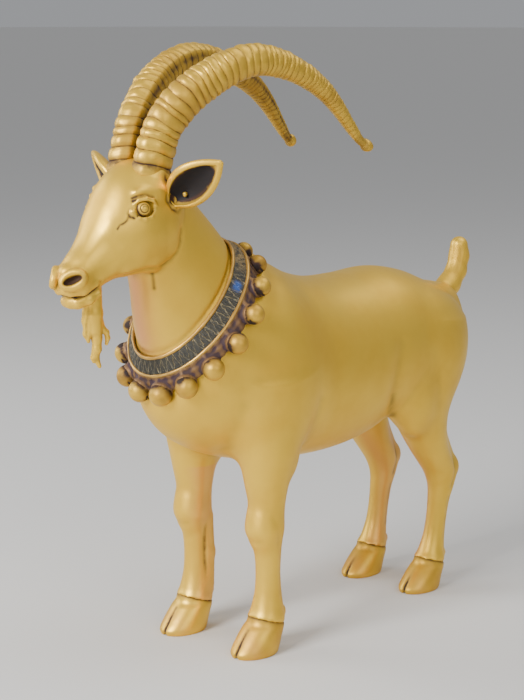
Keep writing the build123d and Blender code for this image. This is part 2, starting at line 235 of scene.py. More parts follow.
# Left horn: X, Y, Z, radius.
HORN = [
    (7.9, -115.7, 228.6, 8.6),
    (8.0, -114.6, 234.2, 9.0),
    (8.4, -112.0, 242.8, 9.0),
    (9.1, -108.7, 251.2, 8.9),
    (10.4, -103.8, 257.9, 8.9),
    (12.7, -97.1, 264.8, 8.7),
    (15.4, -87.8, 271.2, 8.3),
    (17.8, -76.4, 276.7, 7.9),
    (19.6, -63.3, 279.9, 7.5),
    (20.6, -49.1, 278.8, 6.9),
    (21.2, -32.9, 273.9, 6.1),
    (21.8, -18.7, 266.6, 5.2),
    (22.5, -8.2, 258.0, 4.2),
    (23.3, 1.0, 248.0, 3.2),
    (24.1, 7.4, 241.2, 2.5),
    (24.8, 11.3, 238.4, 2.3),
]
HORN_KNOB = (24.9, 12.0, 238.1)


# ---------------------------------------------------------------- distance fields
class Grid:
    """A block of sample points, in millimetres, on which a form is built as a distance field."""

    def __init__(self, low, high, step):
        self.low = np.array(low, dtype=float)
        self.step = step
        axes = [np.arange(low[i], high[i] + step, step, dtype=np.float32) for i in range(3)]
        self.x = axes[0][:, None, None]
        self.y = axes[1][None, :, None]
        self.z = axes[2][None, None, :]

    def block(self, low, high):
        """The index ranges and the coordinates of the samples between two corners."""
        ranges = []
        for values, first, last in zip((self.x, self.y, self.z), low, high):
            flat = values.ravel()
            ranges.append(slice(int(np.searchsorted(flat, first)), int(np.searchsorted(flat, last))))
        part = (self.x[ranges[0]], self.y[:, ranges[1]], self.z[:, :, ranges[2]])
        return tuple(ranges), part


def curve_through(rows, count):
    """Rows of numbers resampled along a smooth curve that passes through every one (Catmull-Rom)."""
    rows = np.array(rows, dtype=float)
    padded = np.vstack([2 * rows[0] - rows[1], rows, 2 * rows[-1] - rows[-2]])
    where = np.linspace(0, len(rows) - 1, count)
    index = np.minimum(where.astype(int), len(rows) - 2)
    t = (where - index)[:, None]
    before, first, second, after = (padded[index + k] for k in range(4))
    return 0.5 * (
        2 * first
        + (second - before) * t
        + (2 * before - 5 * first + 4 * second - after) * t**2
        + (3 * first - before - 3 * second + after) * t**3
    )


def merge(first, second, soft):
    """The union of two fields with a fillet."""
    mix = np.clip(0.5 + 0.5 * (second - first) / soft, 0, 1)
    return second + (first - second) * mix - soft * mix * (1 - mix)


def cut(field, tool, soft):
    """A field with a tool cut away and the edge rounded."""
    return -merge(-field, tool, soft)


def body_loft(grid, stations):
    """A field of the body lofted through sections square to the midplane, with closed ends."""
    flat = [(*top, *bottom, *rest) for top, bottom, *rest in stations]
    rows = curve_through(flat, 6 * len(flat))
    y, z = np.meshgrid(grid.y.ravel(), grid.z.ravel(), indexing="ij")
    rise = rows[:, 0:2] - rows[:, 2:4]
    length = np.linalg.norm(rise, axis=1)
    normal = np.stack([-rise[:, 1], rise[:, 0]], axis=1) / length[:, None]
    middle = (rows[:, 0:2] + rows[:, 2:4]) / 2
    ahead = [(y - m[0]) * n[0] + (z - m[1]) * n[1] for m, n in zip(middle, normal)]
    passed = sum((distance > 0).astype(int) for distance in ahead)
    index = np.clip(passed - 1, 0, len(rows) - 2)
    stack = np.stack(ahead)
    behind = np.take_along_axis(stack, index[None], 0)[0]
    beyond = np.take_along_axis(stack, index[None] + 1, 0)[0]
    share = np.clip(behind / np.where(np.abs(behind - beyond) < 1e-6, 1e-6, behind - beyond), 0, 1)
    row = rows[index] + (rows[index + 1] - rows[index]) * share[..., None]
    mid_y = (row[..., 0] + row[..., 2]) / 2
    mid_z = (row[..., 1] + row[..., 3]) / 2
    up_y = row[..., 0] - row[..., 2]
    up_z = row[..., 1] - row[..., 3]
    half = np.hypot(up_y, up_z) / 2
    along = ((y - mid_y) * up_y + (z - mid_z) * up_z) / (2 * half)
    lift = (along / half).astype(np.float32)
    width = row[..., 4] * (1 - row[..., 5] * np.clip(lift, -1.5, 1.5))
    power = row[..., 6].astype(np.float32)
    side = np.abs(grid.x) / width[None].astype(np.float32)
    size = (np.abs(lift)[None] ** power[None] + side ** power[None]) ** (1 / power[None])
    reach = np.sqrt(grid.x**2 + along[None].astype(np.float32) ** 2)
    size = np.maximum(size, 1e-3)
    field = reach * (1 - 1 / size)
    field = np.where(size < 0.05, -half[None].astype(np.float32), field)
    ends = np.maximum(-ahead[0], ahead[-1]).astype(np.float32)
    return np.maximum(field, ends[None])


def oval_field(first, second, first_half, second_half):
    """A field of a long form whose cross-section is an oval with the given half-widths."""
    size = np.maximum(np.sqrt((first / first_half) ** 2 + (second / second_half) ** 2), 1e-2)
    return np.hypot(first, second) * (1 - 1 / size)


def limb_loft(grid, stations, side):
    """A field of a leg or a hoof lofted through level sections."""
    rows = curve_through(stations, 12 * len(stations))
    order = np.argsort(rows[:, 0])
    z = grid.z.ravel()
    levels = rows[order, 0]
    x, y, half_width, half_depth = (
        np.interp(z, levels, rows[order, k]).astype(np.float32)[None, None, :] for k in range(1, 5))
    field = oval_field(grid.x - side * x, grid.y - y, half_width, half_depth)
    ends = np.maximum(grid.z - rows[:, 0].max(), rows[:, 0].min() - grid.z)
    return np.maximum(field, ends)


def capsule_field(part, start, end, start_radius, end_radius):
    """A field of a round-ended rod that may taper."""
    x, y, z = part
    span = [end[k] - start[k] for k in range(3)]
    total = max(sum(value * value for value in span), 1e-9)
    share = ((x - start[0]) * span[0] + (y - start[1]) * span[1] + (z - start[2]) * span[2]) / total
    share = np.clip(share, 0, 1)
    away = [value - start[k] - share * span[k] for k, value in enumerate((x, y, z))]
    distance = np.sqrt(away[0] ** 2 + away[1] ** 2 + away[2] ** 2)
    return distance - (start_radius + (end_radius - start_radius) * share)


def pod_field(part, centre, radii, long_axis=(0, 0, 1), wide_axis=(1, 0, 0)):
    """A field of an ellipsoid; radii run along the wide axis, the third axis and the long axis."""
    up = Vector(long_axis).normalized()
    wide = (Vector(wide_axis) - Vector(wide_axis).dot(up) * up).normalized()
    third = up.cross(wide)
    off = [value - centre[k] for k, value in enumerate(part)]
    turned = [off[0] * a[0] + off[1] * a[1] + off[2] * a[2] for a in (wide, third, up)]
    size = np.sqrt(sum((value / radius) ** 2 for value, radius in zip(turned, radii)))
    slope = np.sqrt(sum((value / radius**2) ** 2 for value, radius in zip(turned, radii)))
    return size * (size - 1) / np.maximum(slope, 1e-4)


def near_path(part, points):
    """The distance to a broken line."""
    best = None
    for start, end in zip(points[:-1], points[1:]):
        distance = capsule_field(part, start, end, 0, 0)
        best = distance if best is None else np.minimum(best, distance)
    return best


def flipped(point, side):
    """A point of the left side, carried to the given side."""
    return (side * point[0], point[1], point[2])


class Form:
    """A distance field on a grid that is shaped by adding, cutting and creasing, on both sides at once."""

    def __init__(self, grid, field):
        self.grid = grid
        self.field = field
        self.stains = []

    def local(self, points, reach):
        """The block of samples within reach of the points."""
        low = np.min(points, axis=0) - reach
        high = np.max(points, axis=0) + reach
        return self.grid.block(low, high)

    def sides(self, points, both):
        """The points on the left, and their mirror images when both sides are wanted."""
        yield [tuple(point) for point in points]
        if both:
            yield [flipped(point, -1) for point in points]

    def add_rod(self, points, radii, soft, both=True):
        """Adds a chain of tapering rods."""
        self.rod(points, radii, soft, both, merge)

    def cut_rod(self, points, radii, soft, both=True):
        """Cuts a chain of tapering rods away."""
        self.rod(points, radii, soft, both, cut)

    def rod(self, points, radii, soft, both, join):
        for chain in self.sides(points, both):
            for index in range(len(chain) - 1):
                ends = chain[index:index + 2]
                ranges, part = self.local(ends, max(radii) + soft + BLEND_ROOM)
                shape = capsule_field(part, *ends, radii[index], radii[index + 1])
                self.field[ranges] = join(self.field[ranges], shape, soft)

    def add_pod(self, centre, radii, soft, long_axis=(0, 0, 1), wide_axis=(1, 0, 0), both=True):
        """Adds an ellipsoid."""
        self.pod(centre, radii, soft, long_axis, wide_axis, both, merge)

    def cut_pod(self, centre, radii, soft, long_axis=(0, 0, 1), wide_axis=(1, 0, 0), both=True):
        """Cuts an ellipsoid away."""
        self.pod(centre, radii, soft, long_axis, wide_axis, both, cut)

    def pod(self, centre, radii, soft, long_axis, wide_axis, both, join):
        for side, (place,) in zip((1, -1), self.sides([centre], both)):
            ranges, part = self.local([place], max(radii) + soft + BLEND_ROOM)
            shape = pod_field(part, place, radii, flipped(long_axis, side), flipped(wide_axis, side))
            self.field[ranges] = join(self.field[ranges], shape, soft)

    def crease(self, points, depth, width, stain_and_shade=0.0, stain_width=None, both=True):
        """Presses a soft groove along a path, or raises a ridge when depth is negative, and stains it."""
        for chain in self.sides(points, both):
            ranges, part = self.local(chain, 3 * width + 1)
            distance = near_path(part, chain)
            self.field[ranges] += depth * np.exp(-((distance / width) ** 2))
            if stain_and_shade:
                self.stains.append((chain, stain_and_shade, stain_width or width))

    def stain_and_shade(self, points, strength, width, both=True):
        """Leaves patina along a path without changing the form."""
        for chain in self.sides(points, both):
            self.stains.append((chain, strength, width))


# ---------------------------------------------------------------- meshes
def face_normals(corners):
    """A normal of each four-cornered face, as long as twice its area."""
    return np.cross(corners[:, 2] - corners[:, 0], corners[:, 3] - corners[:, 1])


def wound_outward(vertices, faces, middles):
    """The faces, all turned over when they look towards the given middles rather than away from them."""
    corners = vertices[faces]
    away = corners.mean(axis=1) - middles
    return faces if (face_normals(corners) * away).sum() >= 0 else faces[:, ::-1]


def ring_faces(count, width):
    """Faces of a closed band: count rows of width points, joined round in both directions."""
    index = np.arange(count * width).reshape(count, width)
    ahead = np.roll(index, -1, axis=0)
    return np.stack([index, np.roll(index, -1, axis=1), np.roll(ahead, -1, axis=1), ahead], axis=-1).reshape(-1, 4)


def ball_faces(rings, turns):
    """Faces of a ball: rings of points from pole to pole, joined round."""
    index = np.arange((rings + 1) * turns).reshape(rings + 1, turns)
    after = np.roll(index, -1, axis=1)
    return np.stack([index[:-1], index[1:], after[1:], after[:-1]], axis=-1).reshape(-1, 4)


def surface(form):
    """Vertices and faces of a form's zero surface."""
    volume = openvdb.FloatGrid(5.0)
    volume.copyFromArray(np.ascontiguousarray(form.field, dtype=np.float32))
    points, quads = volume.convertToQuads(isovalue=0.0)
    vertices = points * form.grid.step + form.grid.low
    return vertices, wound_outward(vertices, quads, np.zeros(3))


def vertex_normals(vertices, faces):
    """Smooth normals from the faces round each vertex."""
    each = face_normals(vertices[faces])
    normals = np.zeros_like(vertices)
    for k in range(faces.shape[1]):
        np.add.at(normals, faces[:, k], each)
    return normals / np.maximum(np.linalg.norm(normals, axis=1, keepdims=True), 1e-9)


def relax(vertices, faces, rounds):
    """Each vertex moved to the mean of its neighbours, a number of times."""
    first = faces.ravel()
    second = np.roll(faces, -1, axis=1).ravel()
    count = np.bincount(first, minlength=len(vertices)) + np.bincount(second, minlength=len(vertices))
    count = np.maximum(count, 1)[:, None]
    current = vertices
    for _ in range(rounds):
        total = np.zeros_like(current)
        for k in range(3):
            total[:, k] = np.bincount(first, current[second, k], len(vertices))
            total[:, k] += np.bincount(second, current[first, k], len(vertices))
        current = total / count
    return current


def hollowness(vertices, faces, rounds, depth):
    """How far each vertex lies in a hollow, from -1 on a sharp ridge to 1 in a deep crease."""
    normals = vertex_normals(vertices, faces)
    offset = relax(vertices, faces, rounds) - vertices
    return np.clip((offset * normals).sum(axis=1) / depth, -1, 1)


def stain_and_shade_at(vertices, stains):
    """The patina that the creases and marks leave at each vertex, with the painted shade under the jaw, from 0 to
    1.
    """
    total = np.zeros(len(vertices))
    for chain, strength, width in stains:
        low = np.min(chain, axis=0) - 3 * width
        high = np.max(chain, axis=0) + 3 * width
        close = np.all((vertices > low) & (vertices < high), axis=1)
        if close.any():
            distance = near_path(vertices[close].T, chain)
            total[close] = np.maximum(total[close], strength * np.exp(-((distance / width) ** 2)))
    return np.clip(total, 0, 1)


def tuck_rim(shell, rim_edges, normals):
    """Turns an open rim inward under the surface, so that the face that closes it stays hidden."""
    made = bmesh.ops.extrude_edge_only(shell, edges=rim_edges)["geom"]
    inner = [item for item in made if isinstance(item, bmesh.types.BMVert)]
    shell.verts.index_update()
    shell.verts.ensure_lookup_table()
    count = len(normals)
    rows = np.zeros((len(shell.verts) - count, 3))
    for vertex in inner:
        others = (edge.other_vert(vertex).index for edge in vertex.link_edges)
        source = next(index for index in others if index < count)
        vertex.co -= Vector(normals[source]) * RIM_TUCK * MM
        rows[vertex.index - count] = normals[source]
    return np.vstack([normals, rows])


def make_piece(name, vertices, faces, material, layers, cap=False, normals=None):
    """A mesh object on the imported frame, with named values at its vertices for the material."""
    mesh = bpy.data.meshes.new(name)
    placed = (vertices + SHIFT) * MM
    mesh.from_pydata([], [], [])
    faces = np.asarray(faces)
    mesh.vertices.add(len(placed))
    mesh.vertices.foreach_set("co", placed.astype(np.float32).ravel())
    mesh.loops.add(faces.size)
    mesh.loops.foreach_set("vertex_index", faces.astype(np.int32).ravel())
    mesh.polygons.add(len(faces))
    size = faces.shape[1]
    mesh.polygons.foreach_set("loop_start", np.arange(0, faces.size, size, dtype=np.int32))
    mesh.update(calc_edges=True)
    mesh.validate()
    mesh.shade_smooth()
    for layer, values in layers.items():
        attribute = mesh.attributes.new(layer, "FLOAT", "POINT")
        attribute.data.foreach_set("value", np.asarray(values, dtype=np.float32))
    if cap:
        shell = bmesh.new()
        shell.from_mesh(mesh)
        rim_edges = [edge for edge in shell.edges if edge.is_boundary]
        if normals is not None:
            normals = tuck_rim(shell, rim_edges, normals)
            rim_edges = [edge for edge in shell.edges if edge.is_boundary]
        made = bmesh.ops.holes_fill(shell, edges=rim_edges)
        bmesh.ops.triangulate(shell, faces=made["faces"])
        shell.to_mesh(mesh)
        shell.free()
    if normals is not None:
        mesh.normals_split_custom_set_from_vertices(normals)
    mesh.materials.append(material)
    piece = bpy.data.objects.new(name, mesh)
    bpy.context.scene.collection.objects.link(piece)
    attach(piece, "root")
    return piece


# ---------------------------------------------------------------- materials
class Shader:
    """Writes a material's node tree line by line; each method adds a node and gives back its output."""

    def __init__(self, name):
        self.material = bpy.data.materials.new(name)
        self.material.use_nodes = True
        self.tree = self.material.node_tree
        self.tree.nodes.clear()
        self.out = self.tree.nodes.new("ShaderNodeOutputMaterial")
        self.surface = self.tree.nodes.new("ShaderNodeBsdfPrincipled")
        self.tree.links.new(self.surface.outputs[0], self.out.inputs[0])
        self.place = self.tree.nodes.new("ShaderNodeTexCoord").outputs["Object"]

    def put(self, socket, value):
        if isinstance(value, bpy.types.NodeSocket):
            self.tree.links.new(value, socket)
        else:
            socket.default_value = value

    def math(self, operation, first, second=0.0, clamp=False):
        node = self.tree.nodes.new("ShaderNodeMath")
        node.operation = operation
        node.use_clamp = clamp
        self.put(node.inputs[0], first)
        self.put(node.inputs[1], second)
        return node.outputs[0]

    def layer(self, name):
        node = self.tree.nodes.new("ShaderNodeAttribute")
        node.attribute_name = name
        return node.outputs["Fac"]

    def noise(self, scale, detail, roughness=0.55):
        node = self.tree.nodes.new("ShaderNodeTexNoise")
        node.inputs["Scale"].default_value = scale
        node.inputs["Detail"].default_value = detail
        node.inputs["Roughness"].default_value = roughness
        self.tree.links.new(self.place, node.inputs["Vector"])
        return node.outputs["Fac"]

    def span(self, value, low, high, to_low=0.0, to_high=1.0):
        node = self.tree.nodes.new("ShaderNodeMapRange")
        node.interpolation_type = "SMOOTHSTEP"
        self.put(node.inputs["Value"], value)
        node.inputs["From Min"].default_value = low
        node.inputs["From Max"].default_value = high
        node.inputs["To Min"].default_value = to_low
        node.inputs["To Max"].default_value = to_high
        return node.outputs[0]

    def mix(self, share, first, second):
        node = self.tree.nodes.new("ShaderNodeMix")
        node.data_type = "RGBA"
        self.put(node.inputs["Factor"], share)
        for socket, value in ((node.inputs[6], first), (node.inputs[7], second)):
            self.put(socket, value if isinstance(value, bpy.types.NodeSocket) else (*value, 1.0))
        return node.outputs[2]

    def bump(self, height, distance, strength=1.0, normal=None):
        node = self.tree.nodes.new("ShaderNodeBump")
        node.inputs["Strength"].default_value = strength
        node.inputs["Distance"].default_value = distance
        self.put(node.inputs["Height"], height)
        if normal:
            self.put(node.inputs["Normal"], normal)
        return node.outputs[0]

    def finish(self, color, metallic, roughness, normal):
        self.put(self.surface.inputs["Base Color"], color)
        self.put(self.surface.inputs["Metallic"], metallic)
        self.put(self.surface.inputs["Roughness"], roughness)
        self.put(self.surface.inputs["Normal"], normal)
        return self.material


def gold_material(name, light, deep, patina_gain, dark=BROWN, stain_and_shade_gain=1.0,
                  roughness=0.42, metallic=0.72, grain=1.0):
    """Satin gilding over a casting: cloudy gold, brown patina in hollows, a fine cast grain."""
    shader = Shader(name)
    clouds = shader.noise(38.0, 3.0)
    blotches = shader.noise(190.0, 5.0, 0.65)
    violet = shader.noise(120.0, 2.0)
    hollow = shader.math("MAXIMUM", shader.layer("hollow"), 0.0)
    gathered = shader.math("MULTIPLY", hollow, patina_gain)
    # The stain layer holds patina and also painted shade: behind the bells, under the legs' cuffs and under the
    # jaw.
    stain_and_shade = shader.math("MULTIPLY", shader.layer("stain_and_shade"), stain_and_shade_gain)
    patina = shader.math("ADD", gathered, stain_and_shade)
    ragged = shader.math("MULTIPLY", patina, shader.span(blotches, 0.25, 0.7, 0.55, 1.25))
    patina = shader.math("MINIMUM", ragged, 1.0, clamp=True)
    worn = shader.math("MULTIPLY", shader.layer("hollow"), -1.3, clamp=True)
    gold = shader.mix(shader.span(clouds, 0.35, 0.68), light, deep)
    gold = shader.mix(shader.math("MULTIPLY", worn, 0.55), gold, [min(1.0, value * 1.12) for value in light])
    gold = shader.mix(shader.math("MULTIPLY", shader.layer("blush"), 0.75), gold, ROSE)
    violet_dark = (dark[0] * 0.85, dark[1] * 0.75, dark[2] * 1.15)
    brown = shader.mix(shader.span(violet, 0.42, 0.62), dark, violet_dark)
    color = shader.mix(patina, gold, brown)
    # Where patina and painted shade run deepest, the colour goes nearly black.
    soot_and_shade = shader.span(stain_and_shade, 1.05, 1.6)
    color = shader.mix(soot_and_shade, color, SOOT_AND_SHADE)
    grain_height = shader.noise(900.0, 3.0, 0.6)
    soft_height = shader.noise(140.0, 2.0)
    normal = shader.bump(soft_height, 0.00025, 0.35)
    normal = shader.bump(grain_height, 0.00006, 0.5 * grain, normal)
    rough = shader.math("ADD", shader.span(clouds, 0.3, 0.7, roughness - 0.05, roughness + 0.05),
                        shader.math("MULTIPLY", patina, 0.3))
    metal = shader.math("SUBTRACT", metallic, shader.math("MULTIPLY", patina, 0.45))
    return shader.finish(color, metal, rough, normal)


def engraved_material():
    """The collar band: a blackened blue-green field with scrolls and zigzags rubbed bright."""
    shader = Shader("collar_band")
    along = shader.layer("along")          # millimetres round the band
    across = shader.layer("across")        # -1 at one edge to 1 at the other
    wobble = shader.math("MULTIPLY", shader.math("SUBTRACT", shader.noise(420.0, 3.0), 0.5), 2.6)
    walk = shader.math("ADD", along, wobble)
    zigzag = shader.math("PINGPONG", walk, ZIGZAG_PITCH)
    lean = shader.math("SUBTRACT", shader.math("DIVIDE", zigzag, ZIGZAG_PITCH / 2), 1.0)
    chevron = shader.math("ABSOLUTE", shader.math("SUBTRACT", lean, across))
    line = shader.span(chevron, 0.0, 0.42, 1.0, 0.0)
    curl = shader.math("SINE", shader.math("ADD", shader.math("MULTIPLY", walk, 2.855),
                                           shader.math("MULTIPLY", across, 2.4)))
    curl_line = shader.span(shader.math("ABSOLUTE", curl), 0.0, 0.45, 1.0, 0.0)
    relief = shader.math("MAXIMUM", line, shader.math("MULTIPLY", curl_line, 0.7))
    relief = shader.math("MULTIPLY", relief, shader.span(shader.noise(700.0, 4.0), 0.35, 0.6, 0.35, 1.0))
    field = shader.mix(shader.noise(300.0, 3.0), (0.016, 0.018, 0.020), (0.055, 0.05, 0.035))
    bright = shader.mix(shader.noise(260.0, 2.0), (0.13, 0.14, 0.12), (0.36, 0.26, 0.10))
    color = shader.mix(relief, field, bright)
    color = shader.mix(shader.layer("enamel"), color, (0.035, 0.10, 0.34))
    warm = shader.math("MULTIPLY", shader.layer("tarnish"), shader.span(shader.noise(500.0, 3.0), 0.35, 0.6))
    color = shader.mix(warm, color, (0.30, 0.21, 0.09))
    normal = shader.bump(relief, 0.00045, 0.9)
    rough = shader.span(relief, 0.0, 1.0, 0.55, 0.34)
    return shader.finish(color, 0.45, rough, normal)


def build_materials():
    """All finishes, by the name of the record's slot."""
    return {
        "gilded_body": gold_material("gilded_body", (0.86, 0.54, 0.05), (0.79, 0.475, 0.038), 0.5),
        "gilded_horn": gold_material("gilded_horn", (0.74, 0.46, 0.045), (0.50, 0.28, 0.03), 1.3, grain=1.6),
        "gilded_hoof": gold_material("gilded_hoof", (0.84, 0.52, 0.045), (0.62, 0.34, 0.03), 1.2),
        "collar_wire": gold_material("collar_wire", (0.74, 0.44, 0.09), (0.46, 0.26, 0.06), 1.5, roughness=0.34),
        "collar_band": engraved_material(),
        "bell_strip": gold_material("bell_strip", (0.25, 0.135, 0.045), (0.11, 0.055, 0.03), 2.0,
                                    dark=(0.05, 0.026, 0.026), roughness=0.5, metallic=0.5, grain=2.0),
        "bell": gold_material("bell", (0.84, 0.53, 0.05), (0.50, 0.27, 0.03), 2.2, stain_and_shade_gain=1.4, grain=1.6),
    }


# ---------------------------------------------------------------- body
def whole_body(grid):
    """The field of the torso, neck and legs together, before anything is split off."""
    torso = body_loft(grid, TORSO + collar_stations())
    neck = body_loft(grid, collar_stations()[1:] + NECK)
    form = Form(grid, merge(torso, neck, 1.0))
    legs = None
    for side in (1, -1):
        for stations in (FORE_LEG, HIND_LEG):
            leg = limb_loft(grid, stations, side)
            legs = leg if legs is None else np.minimum(legs, leg)
    form.field = merge(form.field, legs, 9.0)
    return form


def collar_stations():
    """The body's sections under the bells and under the collar band."""
    stations = []
    for rise, size, tuck in ((BELL_RING_RISE, STRIP_EDGE, 1.7), (np.zeros(2), LOWER_RIM, 2.2),
                             (UPPER_RIM_RISE, UPPER_RIM, 1.9)):
        middle = COLLAR_CENTRE + COLLAR_AXIS * rise[0] + SLOPE * rise[1]
        top = middle + SLOPE * (size[1] - tuck)
        bottom = middle - SLOPE * (size[1] - tuck)
        stations.append(((top[1], top[2]), (bottom[1], bottom[2]), size[0] - tuck, 0.0, 2.0))
    return stations


def shape_body(form):
    """Shoulders, thighs, joints and creases of the body and the legs."""
    # Shoulder, thigh, breast and the root of the tail.
    form.add_pod((20.0, -50.0, 136.0), (14.5, 18.0, 30.0), 18.0, long_axis=(0, -0.18, 1))
    form.add_pod((17.5, 71.0, 129.0), (16.0, 20.5, 28.0), 12.0, long_axis=(0, 0.2, 1))
    form.add_pod((0.0, -89.0, 126.0), (15.0, 12.5, 16.0), 10.0, both=False)
    form.add_rod([(6.0, 97.0, 150.0), (0.0, 103.5, 147.0)], [9.0, 7.0], 8.0)
    # Fore legs: elbow, knee, tendons and dew claws.
    form.add_pod((24.5, -47.5, 92.0), (7.0, 5.0, 8.0), 7.0)
    form.add_pod((24.5, -61.8, 61.5), (6.6, 5.0, 9.5), 4.5)
    form.add_rod([(21.6, -54.0, 56.0), (21.3, -53.0, 38.0), (21.5, -54.2, 22.0)], [4.4, 4.1, 4.8], 2.2)
    form.crease([(31.8, -62.0, 67.0), (33.0, -59.0, 59.0), (31.0, -57.0, 52.0)], 0.35, 1.8, 0.06, 1.1)
    form.crease([(20.5, -67.0, 55.5), (24.5, -68.0, 54.5), (28.5, -67.0, 55.5)], 0.35, 1.8, 0.12, 0.9)
    form.crease([(30.3, -54.5, 50.0), (30.0, -54.0, 36.0), (30.5, -54.0, 26.0)], 0.35, 1.8, 0.05, 0.8)
    form.crease([(18.4, -57.5, 56.0), (18.6, -57.0, 36.0), (18.5, -56.5, 26.0)], 0.5, 1.3, 0.55, 0.9)
    for dew_claw_x in (28.0, 21.0):
        form.add_pod((dew_claw_x, -51.3, 18.5), (2.2, 2.2, 2.8), 1.2)
    # Hind legs: stifle, hock with its point, tendons and dew claws.
    form.add_pod((20.0, 52.0, 108.0), (11.5, 9.0, 15.0), 8.0)
    form.add_rod([(20.0, 78.5, 84.0), (20.0, 89.5, 64.0)], [4.6, 4.2], 4.0)
    form.add_pod((20.0, 90.0, 63.0), (4.6, 4.2, 5.8), 3.0)
    form.crease([(26.6, 86.5, 76.0), (26.8, 86.0, 66.0), (25.8, 84.0, 54.0)], 0.7, 1.8, 0.2, 1.2)
    form.crease([(13.4, 86.5, 76.0), (13.2, 86.0, 66.0), (14.2, 84.0, 54.0)], 0.7, 1.8, 0.35, 1.2)
    form.crease([(25.2, 82.6, 48.0), (25.2, 81.0, 36.0), (25.4, 79.0, 26.0)], 0.45, 1.2, 0.15, 0.8)
    form.crease([(14.8, 82.6, 48.0), (14.8, 81.0, 36.0), (14.6, 79.0, 26.0)], 0.45, 1.2, 0.35, 0.9)
    for dew_claw_x in (23.2, 16.8):
        form.add_pod((dew_claw_x, 80.6, 17.5), (2.0, 2.0, 2.6), 1.2)
    # The flank's fold and the creases between the limbs and the trunk.
    form.add_pod((24.0, 45.0, 118.0), (9.5, 14.0, 20.0), 8.0)
    form.add_pod((25.5, 51.0, 102.0), (6.5, 8.0, 14.0), 9.0)
    form.crease([(30.0, 29.5, 104.5), (32.0, 26.0, 108.5), (34.5, 24.0, 114.5), (36.0, 24.0, 122.0),
                 (36.5, 26.5, 130.0), (36.8, 29.0, 138.0)], 0.9, 5.0, 0.05, 3.0)
    form.crease([(24.0, 36.0, 99.0), (28.0, 31.5, 101.5), (31.5, 27.0, 107.0), (33.5, 25.0, 112.5)],
                0.5, 2.6, 0.3, 2.4)
    form.crease([(12.0, -79.0, 98.0), (17.5, -77.0, 103.0), (24.0, -79.0, 112.0), (29.0, -78.0, 124.0)], 0.5, 4.5)
    form.crease([(37.0, -34.0, 120.0), (37.5, -36.5, 108.0), (35.0, -38.0, 98.0)], 0.5, 4.5)
    form.crease([(11.5, -60.0, 93.0), (13.0, -50.0, 92.5), (16.0, -43.0, 92.5)], 0.8, 2.2, 0.3, 1.5)
    form.crease([(6.0, 60.0, 99.0), (7.5, 72.0, 100.0), (7.0, 86.0, 104.0)], 1.0, 3.0, 0.55, 2.2)
    form.crease([(0.0, 108.5, 138.0), (0.0, 102.5, 120.0), (0.0, 95.0, 106.0)], 1.4, 3.4, 0.25, 2.4, both=False)
    tail = [(0.0, y, z) for y, z, _ in TAIL]
    form.add_rod(tail, [radius for _, _, radius in TAIL], 2.5, both=False)
    # Patina on the left side of the tail.
    form.stain_and_shade([(3.5, 117.6, 176.0), (3.2, 116.8, 168.0), (3.5, 112.6, 161.5)], 0.35, 1.6, both=False)


def leg_label(points):
    """Which casting each point of the body belongs to: 0 torso, 1 and 2 fore legs, 3 and 4 hind legs, 5 tail."""
    x, y, z = points.T
    labels = np.zeros(len(points), dtype=int)
    fore = (z < FORE_SEAM_Z) & (np.abs(y + 57.5) < 24) & (np.abs(x) > 10.5 + 0.55 * np.maximum(z - 90, 0))
    hind = (z < HIND_SEAM_Z) & (y > 44) & (np.abs(x) > 7.0 + 0.2 * np.maximum(z - 96, 0))
    labels[fore & (x > 0)] = 1
    labels[fore & (x < 0)] = 2
    labels[hind & (x > 0)] = 3
    labels[hind & (x < 0)] = 4
    labels[(y > TAIL_SEAM_Y) & (z > TAIL_SEAM_Z - 0.9 * (y - TAIL_SEAM_Y))] = 5
    return labels


BODY_PARTS = [
    ("torso_cast", "torso"),
    ("foreleg_left_cast", "foreleg_left"),
    ("foreleg_right_cast", "foreleg_right"),
    ("hindleg_left_cast", "hindleg_left"),
    ("hindleg_right_cast", "hindleg_right"),
    ("tail_cast", "tail"),
]


def blush_at(vertices):
    """The rosy tint down the front of the throat and inside the legs."""
    x, y, z = vertices.T
    throat = np.exp(-((x + 2.0) / 7.0) ** 2) * (y < -96) * (y > -121)
    throat = throat * np.clip((z - 142) / 14, 0, 1) * np.clip((192 - z) / 10, 0, 1)
    inner = 0.55 * (z < 84) * np.exp(-((np.abs(x) - 14.5) / 4.0) ** 2)
    return np.clip(throat + inner, 0, 1)


def seam_side(grid):
    """How far each sample lies above the plane where the neck joins the torso."""
    middle = COLLAR_CENTRE + COLLAR_AXIS * SEAM_RISE
    return (grid.y - middle[1]) * COLLAR_AXIS[1] + (grid.z - middle[2]) * COLLAR_AXIS[2]


def cuff_height(y, middle_y, middle_z):
    """The height of a cuff's edge, which slopes from the front of the foot to its back."""
    return middle_z - CUFF_SLOPE * (y - middle_y)


def build_body(materials):
    """The torso, the four legs and the tail, as separate castings of one continuous surface."""
    step = 0.9
    grid = Grid((-42, -116, 5), (42, 128, 204), step)
    form = whole_body(grid)
    shape_body(form)
    form.field = np.maximum(form.field, seam_side(grid))
    fore_cuff = cuff_height(grid.y, FORE_CUFF_Y, FORE_CUFF_Z)
    hind_cuff = cuff_height(grid.y, HIND_CUFF_Y, HIND_CUFF_Z)
    cuffs = np.where(grid.y < 5, fore_cuff, hind_cuff)
    form.field = np.maximum(form.field, cuffs - grid.z)
    vertices, faces = surface(form)
    normals = vertex_normals(vertices, faces)
    layers = {
        "hollow": hollowness(vertices, faces, 12, 0.55),
        "stain_and_shade": stain_and_shade_at(vertices, form.stains),
        "blush": blush_at(vertices),
    }
    labels = leg_label(vertices[faces].mean(axis=1))
    for label, (name, node) in enumerate(BODY_PARTS):
        mine = faces[labels == label]
        used, renumbered = np.unique(mine, return_inverse=True)
        piece = make_piece(
            name, vertices[used], renumbered.reshape(mine.shape), materials["gilded_body"],
            {layer: values[used] for layer, values in layers.items()}, cap=True, normals=normals[used])
        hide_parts(node)


